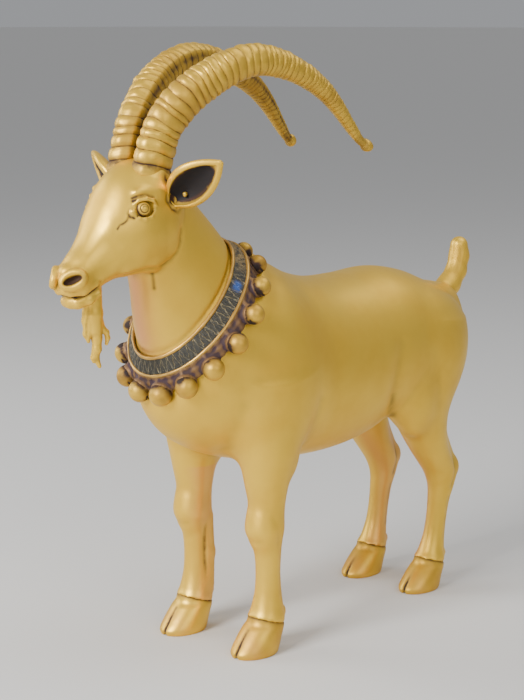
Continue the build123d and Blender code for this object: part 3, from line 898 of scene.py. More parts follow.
def build_hooves(materials):
    """Four cloven hooves with a groove under the coronet."""
    kinds = (
        ("fore", FORE_HOOF, FORE_CUFF_Y, FORE_CUFF_Z, 12, 37),
        ("hind", HIND_HOOF, HIND_CUFF_Y, HIND_CUFF_Z, 8, 32),
    )
    for prefix, stations, cuff_y, cuff_z, low_x, high_x in kinds:
        _, x, y, _, half_depth = stations[-1]
        front = y - half_depth
        grid = Grid((low_x, y - 17, -1.5), (high_x, y + 18, 21), 0.4)
        form = Form(grid, limb_loft(grid, stations, 1))
        # The cleft up the front and along the sole.
        form.cut_rod([(x, front - 2, -1.0), (x, front + 2.0, 6.0), (x, front + 7.5, 13.0)],
                     [0.8, 0.75, 0.5], 0.9, both=False)
        form.cut_rod([(x, front - 2, 0.0), (x, front + 12.0, 0.0)], [0.8, 0.8], 0.8, both=False)
        form.crease([(x - 7, front + 5, 9.5), (x, front + 0.5, 8.0), (x + 7, front + 5, 9.5)],
                    0.3, 0.5, 0.2, 0.5, both=False)
        form.stain_and_shade([(x, front - 0.5, 1.0), (x, front + 2.4, 6.0), (x, front + 7.5, 12.5)], 0.95, 1.0, both=False)
        top = cuff_height(grid.y, cuff_y, cuff_z + 0.1)
        form.field = np.maximum(np.maximum(form.field, grid.z - top), -grid.z)
        vertices, faces = surface(form)
        vertices[:, 2] = np.maximum(vertices[:, 2], 0.0)
        # A painted shadow along the top of the hoof, just under the leg's cuff.
        below_cuff = cuff_height(vertices[:, 1], cuff_y, cuff_z) - vertices[:, 2]
        shadow_line = 0.8 * np.exp(-((below_cuff / 0.9) ** 2))
        layers = {
            "hollow": hollowness(vertices, faces, 8, 0.3),
            "stain_and_shade": np.clip(stain_and_shade_at(vertices, form.stains) + shadow_line, 0, 1),
            "blush": np.clip(1 - np.abs(vertices[:, 1] - front - 5) / 5, 0, 1) * 0.25,
        }
        for side, word in SIDES:
            wound = faces if side == 1 else faces[:, ::-1]
            piece = make_piece(f"hoof_{prefix}_{word}_cast", vertices * (side, 1, 1), wound,
                               materials["gilded_hoof"], layers)
            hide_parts(f"hoof_{prefix}_{word}")


# ---------------------------------------------------------------- head
def build_head(materials):
    """The neck and head, with every feature of the face."""
    step = 0.5
    grid = Grid((-24, -167, 138), (24, -58, 241), step)
    torso = body_loft(grid, TORSO[-2:] + collar_stations())
    neck = body_loft(grid, collar_stations()[1:] + NECK)
    skull = body_loft(grid, HEAD)
    form = Form(grid, merge(merge(torso, neck, 1.0), skull, 2.2))
    shape_skull(form)
    shape_eyes(form)
    shape_muzzle(form)
    form.field = np.maximum(form.field, -seam_side(grid))
    vertices, faces = surface(form)
    layers = {
        "hollow": hollowness(vertices, faces, 8, 0.32),
        "stain_and_shade": stain_and_shade_at(vertices, form.stains),
        "blush": blush_at(vertices),
    }
    piece = make_piece("neck_and_head_cast", vertices, faces, materials["gilded_body"], layers)
    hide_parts("neck_and_head")


def shape_skull(form):
    """Cheeks, jaw, brow, forehead and the sockets of the horns and ears."""
    # Cheek, the back of the skull, and the jaw with the line under it.
    form.add_pod((6.5, -119.0, 204.5), (11.6, 16.8, 15.6), 3.5, long_axis=(0, -0.25, 1))
    form.add_pod((7.5, -111.5, 208.0), (10.4, 9.0, 14.0), 2.5)
    form.add_rod([(8.0, -131.0, 192.0), (9.0, -118.0, 194.0), (10.0, -109.0, 199.0)], [4.2, 5.0, 5.0], 4.0)
    form.crease([(10.0, -133.0, 187.9), (13.2, -122.5, 189.8), (13.1, -113.5, 191.1), (14.0, -109.3, 193.2),
                 (15.4, -106.6, 196.6), (15.8, -105.0, 200.5), (16.2, -104.6, 206.0)], 0.6, 1.4, 0.16, 1.1)
    # The roots of the horn and the ear.
    form.add_rod([(8.2, -116.5, 225.0), (8.4, -115.4, 229.5)], [9.0, 7.6], 3.0)
    form.stain_and_shade([(15.8, -113.5, 228.5), (16.6, -111.5, 227.0), (16.6, -110.0, 226.0)], 0.9, 2.2)
    form.add_rod([(9.0, -107.5, 219.0), (12.2, -106.4, 219.8)], [5.2, 4.0], 3.5)
    form.crease([(16.2, -114.5, 224.5), (17.0, -114.8, 220.0), (17.4, -112.0, 215.8), (18.0, -107.8, 214.2),
                 (17.0, -104.0, 216.0)], 0.7, 0.9, 0.7, 0.9)
    form.crease([(13.5, -114.0, 231.5), (17.0, -113.0, 228.0), (18.0, -112.5, 226.0)], 0.7, 1.2, 0.75, 1.5)
    # The bridge of the nose, its ridges and the dip of the cheek.
    form.crease([(0.0, -141.0, 221.5), (0.0, -151.0, 205.0)], 0.35, 3.2, both=False)
    form.crease([(9.5, -142.5, 212.0), (8.5, -148.0, 203.5), (7.8, -152.5, 198.0)], -0.35, 2.4)
    form.crease([(13.2, -139.0, 203.0), (11.6, -146.0, 196.0)], 0.5, 4.0)
    # Inside of the ear's root.
    form.cut_pod((18.6, -110.8, 221.0), (2.2, 2.4, 3.4), 0.6)
    form.stain_and_shade([(17.2, -111.9, 219.4), (17.0, -110.6, 221.2), (16.6, -110.0, 222.8)], 1.4, 1.9)
    # A short slot, a painted shade under the jaw and small flaws on the throat.
    form.crease([(9.1, -116.0, 186.4), (8.8, -115.3, 183.2), (8.5, -114.6, 179.9)], 0.6, 0.8, 0.75, 0.8)
    form.stain_and_shade([(0.0, -118.5, 187.0), (0.0, -112.0, 190.0)], 0.3, 3.0, both=False)
    form.stain_and_shade([(9.9, -115.4, 156.6), (10.0, -115.4, 155.8)], 0.7, 0.5, both=False)
    form.stain_and_shade([(5.0, -112.5, 151.5), (6.5, -112.5, 150.0)], 0.5, 0.6, both=False)


def shape_eyes(form):
    """Eye sockets, brow, lids, the tear duct and the tear line."""
    form.add_pod((13.8, -125.8, 224.4), (1.6, 4.4, 1.4), 3.0)
    form.cut_pod((17.8, -127.2, 217.1), (3.6, 4.6, 4.5), 1.0)
    # Upper lid, lower lid and the fold over the upper one.
    form.add_rod([(14.4, -131.6, 219.1), (15.6, -129.6, 221.0), (16.9, -126.6, 221.6), (17.7, -123.2, 220.6),
                  (17.6, -121.2, 218.2)], [0.5, 0.85, 1.0, 0.9, 0.5], 0.6)
    form.add_rod([(14.9, -132.0, 215.2), (16.2, -130.2, 213.4), (17.3, -127.4, 212.7), (17.8, -124.2, 213.6),
                  (17.5, -121.8, 216.2)], [0.4, 0.6, 0.75, 0.7, 0.4], 0.6)
    form.crease([(13.3, -131.6, 221.9), (15.0, -129.0, 222.9), (16.4, -126.0, 223.4), (17.4, -122.0, 221.9)],
                0.45, 0.55, 0.9, 0.6)
    # The duct at the front corner, the grooves round it and the line that runs down from it.
    form.add_pod((14.8, -132.2, 215.9), (1.1, 1.7, 1.7), 0.3)
    form.crease([(15.9, -130.8, 218.2), (16.3, -130.5, 216.0), (15.9, -130.9, 213.9)], 0.5, 0.5, 1.0, 0.5)
    form.crease([(14.3, -134.2, 217.4), (14.1, -134.8, 215.6), (14.5, -134.0, 214.0), (15.4, -132.4, 213.3)],
                0.35, 0.5, 1.3, 0.55)
    form.crease([(14.2, -134.6, 214.4), (14.2, -135.4, 212.6), (13.6, -136.8, 211.3), (12.7, -138.3, 210.6),
                 (12.2, -139.4, 208.9)], 0.35, 0.45, 0.9, 0.5)
    form.crease([(14.5, -134.2, 213.8), (14.7, -133.3, 212.8)], 0.25, 0.4, 0.5, 0.35)
    # Patina along both lids.
    form.stain_and_shade([(13.6, -131.6, 220.6), (15.4, -129.2, 221.2), (16.6, -126.0, 221.4), (17.5, -122.4, 219.6)],
               1.0, 0.7)
    form.stain_and_shade([(15.8, -130.4, 214.4), (16.8, -127.4, 213.2), (17.4, -124.2, 214.0), (17.4, -121.8, 217.0)],
               0.95, 0.7)


def shape_muzzle(form):
    """Nose, nostrils, lips and chin."""
    form.add_pod((5.0, -156.0, 186.9), (5.2, 5.4, 5.8), 2.5, long_axis=(0, -0.5, 1))
    form.add_rod([(0.0, -158.6, 190.5), (0.0, -159.2, 185.5)], [3.2, 2.6], 2.0, both=False)
    # Each nostril is a slanted slot inside a thick raised ring.
    centre = Vector((6.3, -160.0, 188.2))
    slant = Vector((0.636, 0.677, 0.369))
    upward = Vector((-0.371, -0.148, 0.911))
    ring = []
    corners = 16
    for step in range(corners + 1):
        turn = math.tau * step / corners
        ring.append(tuple(centre + slant * 4.9 * math.cos(turn) + upward * 3.2 * math.sin(turn)))
    form.add_rod(ring, [1.2] * len(ring), 1.3)
    form.cut_pod((7.2, -161.2, 188.3), (3.0, 1.75, 4.3), 0.6,
                 long_axis=(0.636, 0.677, 0.369), wide_axis=(0.66, -0.73, 0.15))
    form.stain_and_shade([(4.4, -161.6, 186.9), (6.4, -159.2, 188.1), (8.6, -157.4, 189.4)], 1.6, 2.0)
    form.crease([(0.0, -162.0, 184.2), (0.0, -161.2, 181.4)], 0.5, 0.7, 0.4, 0.5, both=False)
    # The mouth line runs from the front of the lips up to its corner.
    mouth = [(0.0, -160.8, 180.4), (2.8, -159.6, 180.0), (5.6, -156.4, 180.3), (7.6, -152.8, 181.7),
             (8.6, -147.2, 184.2)]
    form.add_rod([(0.0, -155.9, 177.7), (3.2, -155.1, 177.7), (5.6, -150.8, 178.8), (6.8, -146.6, 181.0)],
                 [2.9, 2.8, 2.4, 1.8], 1.5)
    form.add_pod((0.0, -148.4, 179.0), (5.2, 5.0, 4.0), 2.0, both=False)
    form.add_rod([(0.0, -159.6, 183.0), (3.2, -158.8, 182.9), (6.6, -154.8, 183.4), (8.2, -148.8, 185.6)],
                 [2.2, 2.2, 2.0, 1.2], 1.8)
    form.crease(mouth, 1.3, 0.65, 1.5, 0.8)
    form.crease([(8.7, -146.6, 186.2), (8.9, -145.0, 184.0), (8.3, -144.6, 182.0)], 0.5, 0.9, 0.2, 0.6)
    form.crease([(0.0, -150.8, 174.6), (3.4, -150.0, 175.2), (5.2, -147.2, 176.8)], 0.4, 0.8, 0.3, 0.8)


def build_eyes(materials):
    """The eyeballs: a ball with an engraved ring, a short arc for the pupil and a dark rim."""
    rings, turns = 48, 64
    ring_angle, arc_angle, rim_angle = 0.52, 0.25, 0.66      # from the direction of the gaze, in radians
    outward = Vector((0.93, -0.34, 0.14)).normalized()
    wide = outward.orthogonal().normalized()
    high = outward.cross(wide)
    vertices, hollow, stain_and_shade = [], [], []
    for ring in range(rings + 1):
        angle = math.pi * ring / rings
        groove = math.exp(-((angle - ring_angle) / 0.07) ** 2)
        radius = EYE_RADIUS + 0.1 - 0.28 * groove
        for turn in range(turns):
            around = math.tau * turn / turns
            side = wide * math.cos(around) + high * math.sin(around)
            arc = math.exp(-((angle - arc_angle) / 0.06) ** 2) * max(0.0, math.sin(around + 0.6))
            vertices.append(outward * math.cos(angle) * radius + side * math.sin(angle) * radius)
            hollow.append(0.9 * groove + 0.8 * arc)
            stain_and_shade.append(0.8 * groove + 0.7 * arc + min(1.0, max(0.0, angle - rim_angle) / 0.25))
    vertices = np.array(vertices)
    faces = ball_faces(rings, turns)
    layers = {"hollow": hollow, "stain_and_shade": stain_and_shade, "blush": np.zeros(len(vertices))}
    for side, word in SIDES:
        wound = faces if side == 1 else faces[:, ::-1]
        piece = make_piece(f"eye_{word}_ball", (vertices + EYE) * (side, 1, 1), wound,
                           materials["gilded_body"], layers)
        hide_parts(f"eye_{word}")


def eased(at, knots, values):
    """A smooth curve through the values at the knots."""
    knots = np.array(knots)
    values = np.array(values)
    slopes = np.gradient(values, knots)
    which = np.clip(np.searchsorted(knots, at) - 1, 0, len(knots) - 2)
    width = knots[which + 1] - knots[which]
    part = np.clip((at - knots[which]) / width, 0, 1)
    rest = 1 - part
    start = (1 + 2 * part) * rest ** 2 * values[which] + part * rest ** 2 * width * slopes[which]
    end = (3 - 2 * part) * part ** 2 * values[which + 1] - part ** 2 * rest * width * slopes[which + 1]
    return start + end


def ear_curl(share, height):
    """How far the ear curls forward at a share of its length and a height across it."""
    return 1.5 * np.sin(np.clip(share, 0, 1) * 2.2) + 0.02 * height * height


def build_ears(materials):
    """Leaf-shaped ears with a thick rim and a deep dark hollow that holds a small bead."""
    length = (EAR_TIP - EAR_ROOT).length
    along = (EAR_TIP - EAR_ROOT).normalized()
    forward = (EAR_FACING - EAR_FACING.dot(along) * along).normalized()
    up = forward.cross(along) * -1 if forward.cross(along).z < 0 else forward.cross(along)
    grid = Grid((9, -122, 205), (46, -92, 242), 0.4)
    off = [grid.x - EAR_ROOT.x, grid.y - EAR_ROOT.y, grid.z - EAR_ROOT.z]
    a, b, c = (off[0] * axis.x + off[1] * axis.y + off[2] * axis.z for axis in (along, up, forward))
    # The leaf, cut square at the root and at the tip.
    share = np.clip(a / length, EAR_SHARES[0], EAR_SHARES[-1])
    high = eased(share, EAR_SHARES, EAR_HALF_HEIGHTS)
    thick = eased(share, EAR_SHARES, EAR_HALF_DEPTHS)
    curl = ear_curl(share, b)
    lift = EAR_LIFT * np.sin(math.pi * np.clip(share, 0, 1))
    shell = oval_field(b - lift, c - curl, high, thick)
    shell = np.maximum(shell, np.maximum(-a - 2.0, a - length - 0.6))
    # The hollow in its front.
    hole_high = np.maximum(high - EAR_RIM, 0.3)
    hole_thick = np.maximum(thick * 0.92, 0.3)
    hole = oval_field(b - lift, c - curl - EAR_FRONT, hole_high, hole_thick)
    hole = np.maximum(hole, np.maximum(0.2 - a, a - length * 0.93))
    form = Form(grid, cut(shell, hole, 1.0))
    bead = EAR_ROOT + along * (length * 0.22) + forward * 0.9 - up * 1.2
    form.add_pod(tuple(bead), (1.0, 1.0, 1.2), 0.4, both=False)
    vertices, faces = surface(form)
    # Soot on the faces of the hollow that look forward, but hardly on the bead.
    a, b, c = ((vertices - np.array(EAR_ROOT)) @ np.array(axis) for axis in (along, up, forward))
    share = np.clip(a / length, EAR_SHARES[0], EAR_SHARES[-1])
    reach = eased(share, EAR_SHARES, EAR_HALF_HEIGHTS) - 2.4
    inside = np.clip(1.25 - (np.abs(b - EAR_LIFT) / np.maximum(reach, 0.5)) ** 3, 0, 1)
    before = c - ear_curl(share, b)
    deep = np.clip((EAR_FRONT - before) / 1.6, 0, 1) * (before > -EAR_FRONT)
    stain_and_shade = inside * deep * np.clip((a + 1.4) / 1.5, 0, 1) * np.clip((length * 0.92 - a) / 3, 0, 1)
    stain_and_shade *= vertex_normals(vertices, faces) @ np.array(forward) > -0.35
    stain_and_shade[np.linalg.norm(vertices - np.array(bead), axis=1) < 1.5] *= 0.15
    layers = {"hollow": hollowness(vertices, faces, 6, 0.3), "stain_and_shade": 1.7 * stain_and_shade, "blush": np.zeros(len(vertices))}
    for side, word in SIDES:
        wound = faces if side == 1 else faces[:, ::-1]
        piece = make_piece(f"ear_{word}_cast", vertices * (side, 1, 1), wound, materials["gilded_body"], layers)
        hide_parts(f"ear_{word}")


def build_beard(materials):
    """The beard: a twisted column that splits into three locks."""
    grid = Grid((-9, -156, 143), (9, -130, 188), 0.35)
    column = capsule_field((grid.x, grid.y, grid.z), (0, -143.8, 184.0), (0, -143.6, 171.0), 4.2, 4.3)
    form = Form(grid, column)
    form.add_rod([(0, -143.6, 171.0), (0, -142.8, 164.0)], [4.3, 3.3], 1.5, both=False)
    form.add_rod([(0, -145.6, 176.0), (-1.0, -146.2, 168.0), (-1.5, -146.0, 162.0), (-1.2, -145.4, 158.6)],
                 [2.6, 2.3, 1.7, 0.8], 1.2, both=False)
    form.add_rod([(0.5, -142.4, 166.0), (0.0, -141.6, 160.0), (0.3, -141.8, 155.0), (-0.6, -142.0, 151.5),
                  (0.4, -140.6, 147.0)], [2.9, 2.4, 2.0, 1.6, 0.9], 1.0, both=False)
    form.add_rod([(0.0, -142.0, 156.0), (-1.2, -143.0, 151.0), (-1.0, -142.8, 149.2)],
                 [1.7, 1.1, 0.7], 0.6, both=False)
    form.add_rod([(0.5, -141.2, 167.5), (1.2, -139.4, 163.8), (1.6, -137.4, 162.2), (1.6, -136.6, 159.4),
                  (1.2, -137.0, 156.8)], [2.6, 1.6, 1.3, 1.1, 0.8], 0.8, both=False)
    # Strands that wander down the front and the back of the column.
    for start_x in (-3.2, -1.0, 1.4, 3.4):
        for side_y in (-1, 1):
            path = []
            for step in range(7):
                share = step / 6
                path.append((start_x * (1 - 0.5 * share) + 0.7 * math.sin(4 * share + start_x),
                             -143.8 + side_y * (4.3 - 1.0 * share), 177.0 - 17.0 * share))
            form.crease(path, 0.35, 0.6, 0.25, 0.5, both=False)
    form.stain_and_shade([(0.6, -139.5, 163.0), (0.3, -139.0, 160.5)], 0.8, 1.4, both=False)
    form.stain_and_shade([(-1.6, -144.8, 159.5), (-1.4, -144.6, 157.5)], 0.8, 1.2, both=False)
    form.stain_and_shade([(0, -142.0, 153.0), (0, -142.2, 150.5)], 0.7, 1.2, both=False)
    vertices, faces = surface(form)
    layers = {
        "hollow": hollowness(vertices, faces, 8, 0.3),
        "stain_and_shade": stain_and_shade_at(vertices, form.stains),
        "blush": np.zeros(len(vertices)),
    }
    piece = make_piece("beard_locks", vertices, faces, materials["gilded_body"], layers)
    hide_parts("beard")


# ---------------------------------------------------------------- horns
def build_horns(materials):
    """Ridged horns: uneven rings over a swept tube with a flattened inner side and a small knob at the tip."""
    random = np.random.default_rng(7)
    path = curve_through(HORN, 700)
    turns = 112
    steps = np.linalg.norm(np.diff(path[:, :3], axis=0), axis=1)
    travel = np.concatenate([[0], np.cumsum(steps)])
    along = np.gradient(path[:, :3], axis=0)
    along /= np.linalg.norm(along, axis=1, keepdims=True)
    # The outer side of the bend faces up and forward; the broad ridged face looks out and forward.
    across = np.cross(along, [1.0, 0.0, 0.0])
    across /= np.linalg.norm(across, axis=1, keepdims=True)
    if across[len(across) // 2, 2] < 0:
        across = -across
    side = np.cross(across, along)
    side *= np.sign(side[:, :1])
    angle = np.linspace(0, math.tau, turns, endpoint=False)
    # Ring pitch shortens towards the tip; each ring has its own length, height and lean.
    edges = [FIRST_RING]
    while edges[-1] < travel[-1] - BARE_TIP:
        pitch = RING_PITCH - RING_PITCH_LOSS * (edges[-1] / travel[-1])
        edges.append(edges[-1] + pitch * random.uniform(0.7, 1.35))
    edges = np.array(edges)
    heights = random.uniform(0.65, 1.25, len(edges))
    twist = random.uniform(0, math.tau, len(edges))
    lean = np.cumsum(random.normal(0, 0.25, len(edges)))
    lean -= np.linspace(0, lean[-1], len(edges))
    u = travel[:, None] + 0.9 * np.sin(angle[None] + 0.7) * np.clip(path[:, 3:4] / 8, 0, 1)
    u = u + np.interp(travel, edges, lean)[:, None] * np.cos(angle[None])
    u = u + 0.35 * np.sin(3 * angle[None] + np.interp(travel, edges, np.cumsum(twist))[:, None] * 0.25)
    which = np.clip(np.searchsorted(edges, u) - 1, 0, len(edges) - 2)
    inside = np.clip((u - edges[which]) / (edges[which + 1] - edges[which]), 0, 1)
    bump = np.sqrt(np.clip(1 - (2 * inside - 1) ** 2, 0, 1))
    bump = np.where((u < edges[0]) | (u > edges[-1]), 0.35, bump)
    # Angle 0 is the outer curve of the bend, a quarter turn is the outer flank.
    face = 0.5 + 0.5 * np.cos(angle - 0.75)
    broad = np.clip(face, 0, 1)[None] ** 0.7
    fine = np.sin(u * 3.4 + 1.5 * np.sin(3 * angle[None])) * (1 - broad)
    knots = 1 + 0.3 * np.sin(4 * angle[None] + twist[which]) + 0.15 * np.sin(9 * angle[None] + 2 * twist[which])
    amount = (0.4 + 0.75 * broad) * knots * heights[which] * np.clip(path[:, 3:4] / 9.0, 0.14, 1.0)
    radius = path[:, 3:4] * (0.955 - 0.11 * np.exp(-((np.cos(angle - 3.9) - 1) / 0.35) ** 2)[None])
    radius = radius + amount * (bump - 0.45) + 0.10 * fine * path[:, 3:4] / 9
    # A lengthwise edge and a groove part the ridged face from the smoother inner side.
    edge = np.exp(-((np.mod(angle + 0.95 + math.pi, math.tau) - math.pi) / 0.16) ** 2)[None]
    radius = radius + 0.35 * edge * path[:, 3:4] / 9
    groove = np.exp(-((np.mod(angle + 1.35 + math.pi, math.tau) - math.pi) / 0.2) ** 2)[None]
    radius = radius - 0.5 * groove * path[:, 3:4] / 9
    # The horns are flattened towards each other at the root and round from the middle on.
    share = (travel / travel[-1])[:, None, None]
    deep = np.interp(share, [0.0, 0.45, 0.7], [1.12, 1.05, 1.0])
    wide = np.interp(share, [0.0, 0.45, 0.7], [0.80, 0.92, 1.0])
    ring = np.cos(angle)[None, :, None] * across[:, None] * deep
    ring = ring + np.sin(angle)[None, :, None] * side[:, None] * wide
    vertices = (path[:, None, :3] + ring * radius[..., None]).reshape(-1, 3)
    between = (1 - bump) ** 1.5
    # Patina between the rings, in the groove, over the inner side and round the root.
    inner = 0.85 * (1 - broad) ** 1.6 * (0.55 + 0.45 * between)
    stain_and_shade = np.clip(0.26 * between * (0.5 + broad) + 0.5 * groove + inner, 0, 1)
    base = np.exp(-((travel - 7.5) / 6.0) ** 2)[:, None] * np.clip(-np.cos(angle - 0.5), 0, 1)[None]
    stain_and_shade = np.clip(stain_and_shade + 0.8 * base + 0.7 * np.exp(-((travel - 5.0) / 2.0) ** 2)[:, None], 0, 1)
    rows = len(path)
    index = np.arange(rows * turns).reshape(rows, turns)
    after = np.roll(index, -1, axis=1)
    faces = np.stack([index[:-1], after[:-1], after[1:], index[1:]], axis=-1).reshape(-1, 4)
    faces = wound_outward(vertices, faces, np.repeat(path[:-1, :3], turns, axis=0))
    hollow = np.clip((0.5 - bump) * amount * 1.4, -1, 1)
    layers = {"hollow": hollow.ravel(), "stain_and_shade": stain_and_shade.ravel(), "blush": np.zeros(rows * turns)}
    knob_vertices, knob_faces, knob_layers = knob_mesh()
    faces = np.vstack([faces, knob_faces + len(vertices)])
    vertices = np.vstack([vertices, knob_vertices])
    layers = {name: np.concatenate([values, knob_layers[name]]) for name, values in layers.items()}
    for mirror_side, word in SIDES:
        wound = faces if mirror_side == 1 else faces[:, ::-1]
        piece = make_piece(f"horn_{word}_cast", vertices * (mirror_side, 1, 1), wound,
                           materials["gilded_horn"], layers, cap=True)
        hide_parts(f"horn_{word}")


def knob_mesh():
    """The lumpy little knob on a horn's tip."""
    grid = Grid(np.array(HORN_KNOB) - 6, np.array(HORN_KNOB) + 6, 0.4)
    form = Form(grid, capsule_field((grid.x, grid.y, grid.z), HORN_KNOB, HORN_KNOB, 3.0, 3.0))
    form.add_pod((25.6, 13.2, 237.4), (2.2, 2.4, 2.2), 0.8, both=False)
    form.add_pod((24.2, 11.2, 239.6), (2.0, 2.2, 2.0), 0.8, both=False)
    vertices, faces = surface(form)
    layers = {
        "hollow": hollowness(vertices, faces, 6, 0.3),
        "stain_and_shade": np.clip((vertices[:, 1] < 10.6) * 0.6, 0, 1),
        "blush": np.zeros(len(vertices)),
    }
    return vertices, faces, layers


# ---------------------------------------------------------------- collar and bells
def collar_point(rise, size, turn, lift=0.0):
    """A point on a collar ring and its outward direction; turn runs from the front towards the left."""
    middle = COLLAR_CENTRE + COLLAR_AXIS * rise[0] + SLOPE * rise[1]
    point = np.array([size[0] * math.sin(turn), 0.0, 0.0]) + middle - SLOPE * size[1] * math.cos(turn)
    outward = np.array([math.sin(turn) / size[0], 0.0, 0.0]) - SLOPE * math.cos(turn) / size[1]
    outward /= np.linalg.norm(outward)
    return point + outward * lift, outward


def swept_ring(profile, count):
    """A closed band round the collar: profile gives rise, size and lift for each point across the band."""
    vertices, along = [], []
    for step in range(count):
        turn = math.tau * step / count
        for rise, size, lift in profile:
            vertices.append(collar_point(rise, size, turn, lift)[0])
            along.append(BAND_RADIUS * turn)
    return np.array(vertices), ring_faces(count, len(profile)), np.array(along)


def between_rims(share):
    """Rise and size a share of the way from the lower rim to the upper one."""
    return UPPER_RIM_RISE * share, LOWER_RIM + (UPPER_RIM - LOWER_RIM) * share


def build_band(materials):
    """The engraved band between the two wire rims."""
    shares = np.linspace(0.04, 0.96, 15)
    outside = [(*between_rims(share), 0.05 + 0.25 * math.sin(math.pi * share)) for share in shares]
    inside = [(*between_rims(share), -1.2) for share in shares[::-1]]
    vertices, faces, along = swept_ring(outside + inside, 720)
    middle = len(shares)
    lanes = np.concatenate([np.linspace(-1, 1, middle), np.linspace(1, -1, middle)])
    lane = np.tile(lanes, len(vertices) // (2 * middle))
    turn = along / BAND_RADIUS
    from_front = np.abs(np.mod(turn + math.pi, math.tau) - math.pi)
    # A patch of blue enamel survives high on each side of the band, and its back is tarnished.
    enamel = 0.85 * np.exp(-((from_front - ENAMEL_TURN) / 0.075) ** 4) * np.exp(-(lane / 0.5) ** 4)
    tarnish = np.clip((from_front - TARNISH_TURN) / 0.35, 0, 1) * 0.9
    zigzag = np.abs(np.mod(along / 2.2, 2) - 1) * 2 - 1
    relief = np.exp(-((zigzag - lane) / 0.3) ** 2) * (np.abs(lane) < 0.95)
    rows = np.arange(len(vertices)) % (2 * middle) < middle
    outward = np.array([collar_point(np.zeros(2), LOWER_RIM, value)[1] for value in turn])
    vertices = vertices + outward * (0.22 * relief * rows)[:, None]
    layers = {"along": along, "across": lane, "enamel": enamel, "tarnish": tarnish}
    faces = wound_outward(vertices, faces, vertices.mean(axis=0))
    piece = make_piece("collar_band_engraved", vertices, faces, materials["collar_band"], layers)
    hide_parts("collar_band")


def build_rims(materials):
    """The two wire rims, slightly uneven, as the casting left them."""
    for share, node, seed in ((1.0, "collar_upper_rim", 3), (0.0, "collar_lower_rim", 5)):
        rise, size = between_rims(share)
        vertices, stain_and_shade = [], []
        count, around = 480, 20
        for step in range(count):
            turn = math.tau * step / count
            point, outward = collar_point(rise, size, turn)
            thick = RIM_RADIUS * (1 + 0.10 * math.sin(9 * turn + seed) + 0.07 * math.sin(23 * turn + 2 * seed))
            for part in range(around):
                angle = math.tau * part / around
                upward = COLLAR_AXIS * math.sin(angle) * thick * 1.15
                vertices.append(point + outward * math.cos(angle) * thick + upward)
                stain_and_shade.append(0.75 * max(0.0, -math.cos(angle)) + 0.25 * (math.sin(5 * turn + seed) > 0.6))
        vertices = np.array(vertices)
        middles = [collar_point(rise, size, math.tau * step / count)[0] for step in range(count)]
        faces = wound_outward(vertices, ring_faces(count, around), np.repeat(middles, around, axis=0))
        layers = {"hollow": np.zeros(len(vertices)), "stain_and_shade": stain_and_shade, "blush": np.zeros(len(vertices))}
        piece = make_piece(node + "_wire", vertices, faces, materials["collar_wire"], layers)
        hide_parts(node)


def bell_places():
    """Number, centre, outward direction, radius and turn of every bell."""
    for index in range(BELL_PAIRS):
        degrees = 180 * (index + 0.5) / BELL_PAIRS
        radius = BELL_FRONT_RADIUS + (BELL_TOP_RADIUS - BELL_FRONT_RADIUS) * degrees / 180
        for side in (1, -1):
            number = 2 * index + (1 if side == 1 else 2)
            point, outward = collar_point(BELL_RING_RISE, BELL_RING, side * math.radians(degrees))
            yield number, point, outward, radius, side * math.radians(degrees)


def build_strip(materials):
    """The dark strip that carries the bells: a scalloped ring with a cup behind each bell and straps to the rim."""
    grid = Grid((-42, -124, 122), (42, -44, 202), 0.55)
    ring = np.full((grid.x.size, grid.y.size, grid.z.size), 5.0, dtype=np.float32)
    count = 48
    for step in range(count):
        first = math.tau * step / count
        second = math.tau * (step + 1) / count
        for rise_share, lift, thick in ((0.22, -1.2, 1.5), (0.62, -1.1, 1.7), (0.95, -1.0, 1.5)):
            rise = BELL_RING_RISE * rise_share
            size = LOWER_RIM + (STRIP_EDGE - LOWER_RIM) * rise_share
            start = collar_point(rise, size, first, lift)[0]
            end = collar_point(rise, size, second, lift)[0]
            ranges, near = grid.block(np.minimum(start, end) - 5, np.maximum(start, end) + 5)
            ring[ranges] = merge(ring[ranges], capsule_field(near, start, end, thick, thick), 1.2)
    form = Form(grid, ring)
    random = np.random.default_rng(11)
    for _, point, outward, radius, turn in bell_places():
        cup = point - outward * 1.9
        form.add_pod(tuple(cup), (radius * 0.98,) * 3, 1.0, both=False)
        rim_point = collar_point(BELL_RING_RISE * 0.1, LOWER_RIM, turn + random.uniform(-0.03, 0.03), -0.2)[0]
        form.add_rod([tuple(rim_point), tuple(point - outward * 0.8)], [1.1, 1.7], 0.8, both=False)
        beside = collar_point(BELL_RING_RISE * 0.55, LOWER_RIM, turn + math.pi / (2 * BELL_PAIRS), 0.1)[0]
        form.add_pod(tuple(beside), (1.2, 1.2, 1.2), 0.8, both=False)
        ball = tuple(point + outward * 0.35)
        form.cut_pod(ball, (radius * 0.99,) * 3, 0.5, both=False)
    vertices, faces = surface(form)
    hollow = hollowness(vertices, faces, 8, 0.35)
    stain_and_shade = np.clip(0.35 + 0.6 * hollow, 0, 1)
    layers = {"hollow": hollow, "stain_and_shade": stain_and_shade, "blush": np.zeros(len(vertices))}
    piece = make_piece("bell_strip_cast", vertices, faces, materials["bell_strip"], layers)
    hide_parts("bell_strip")


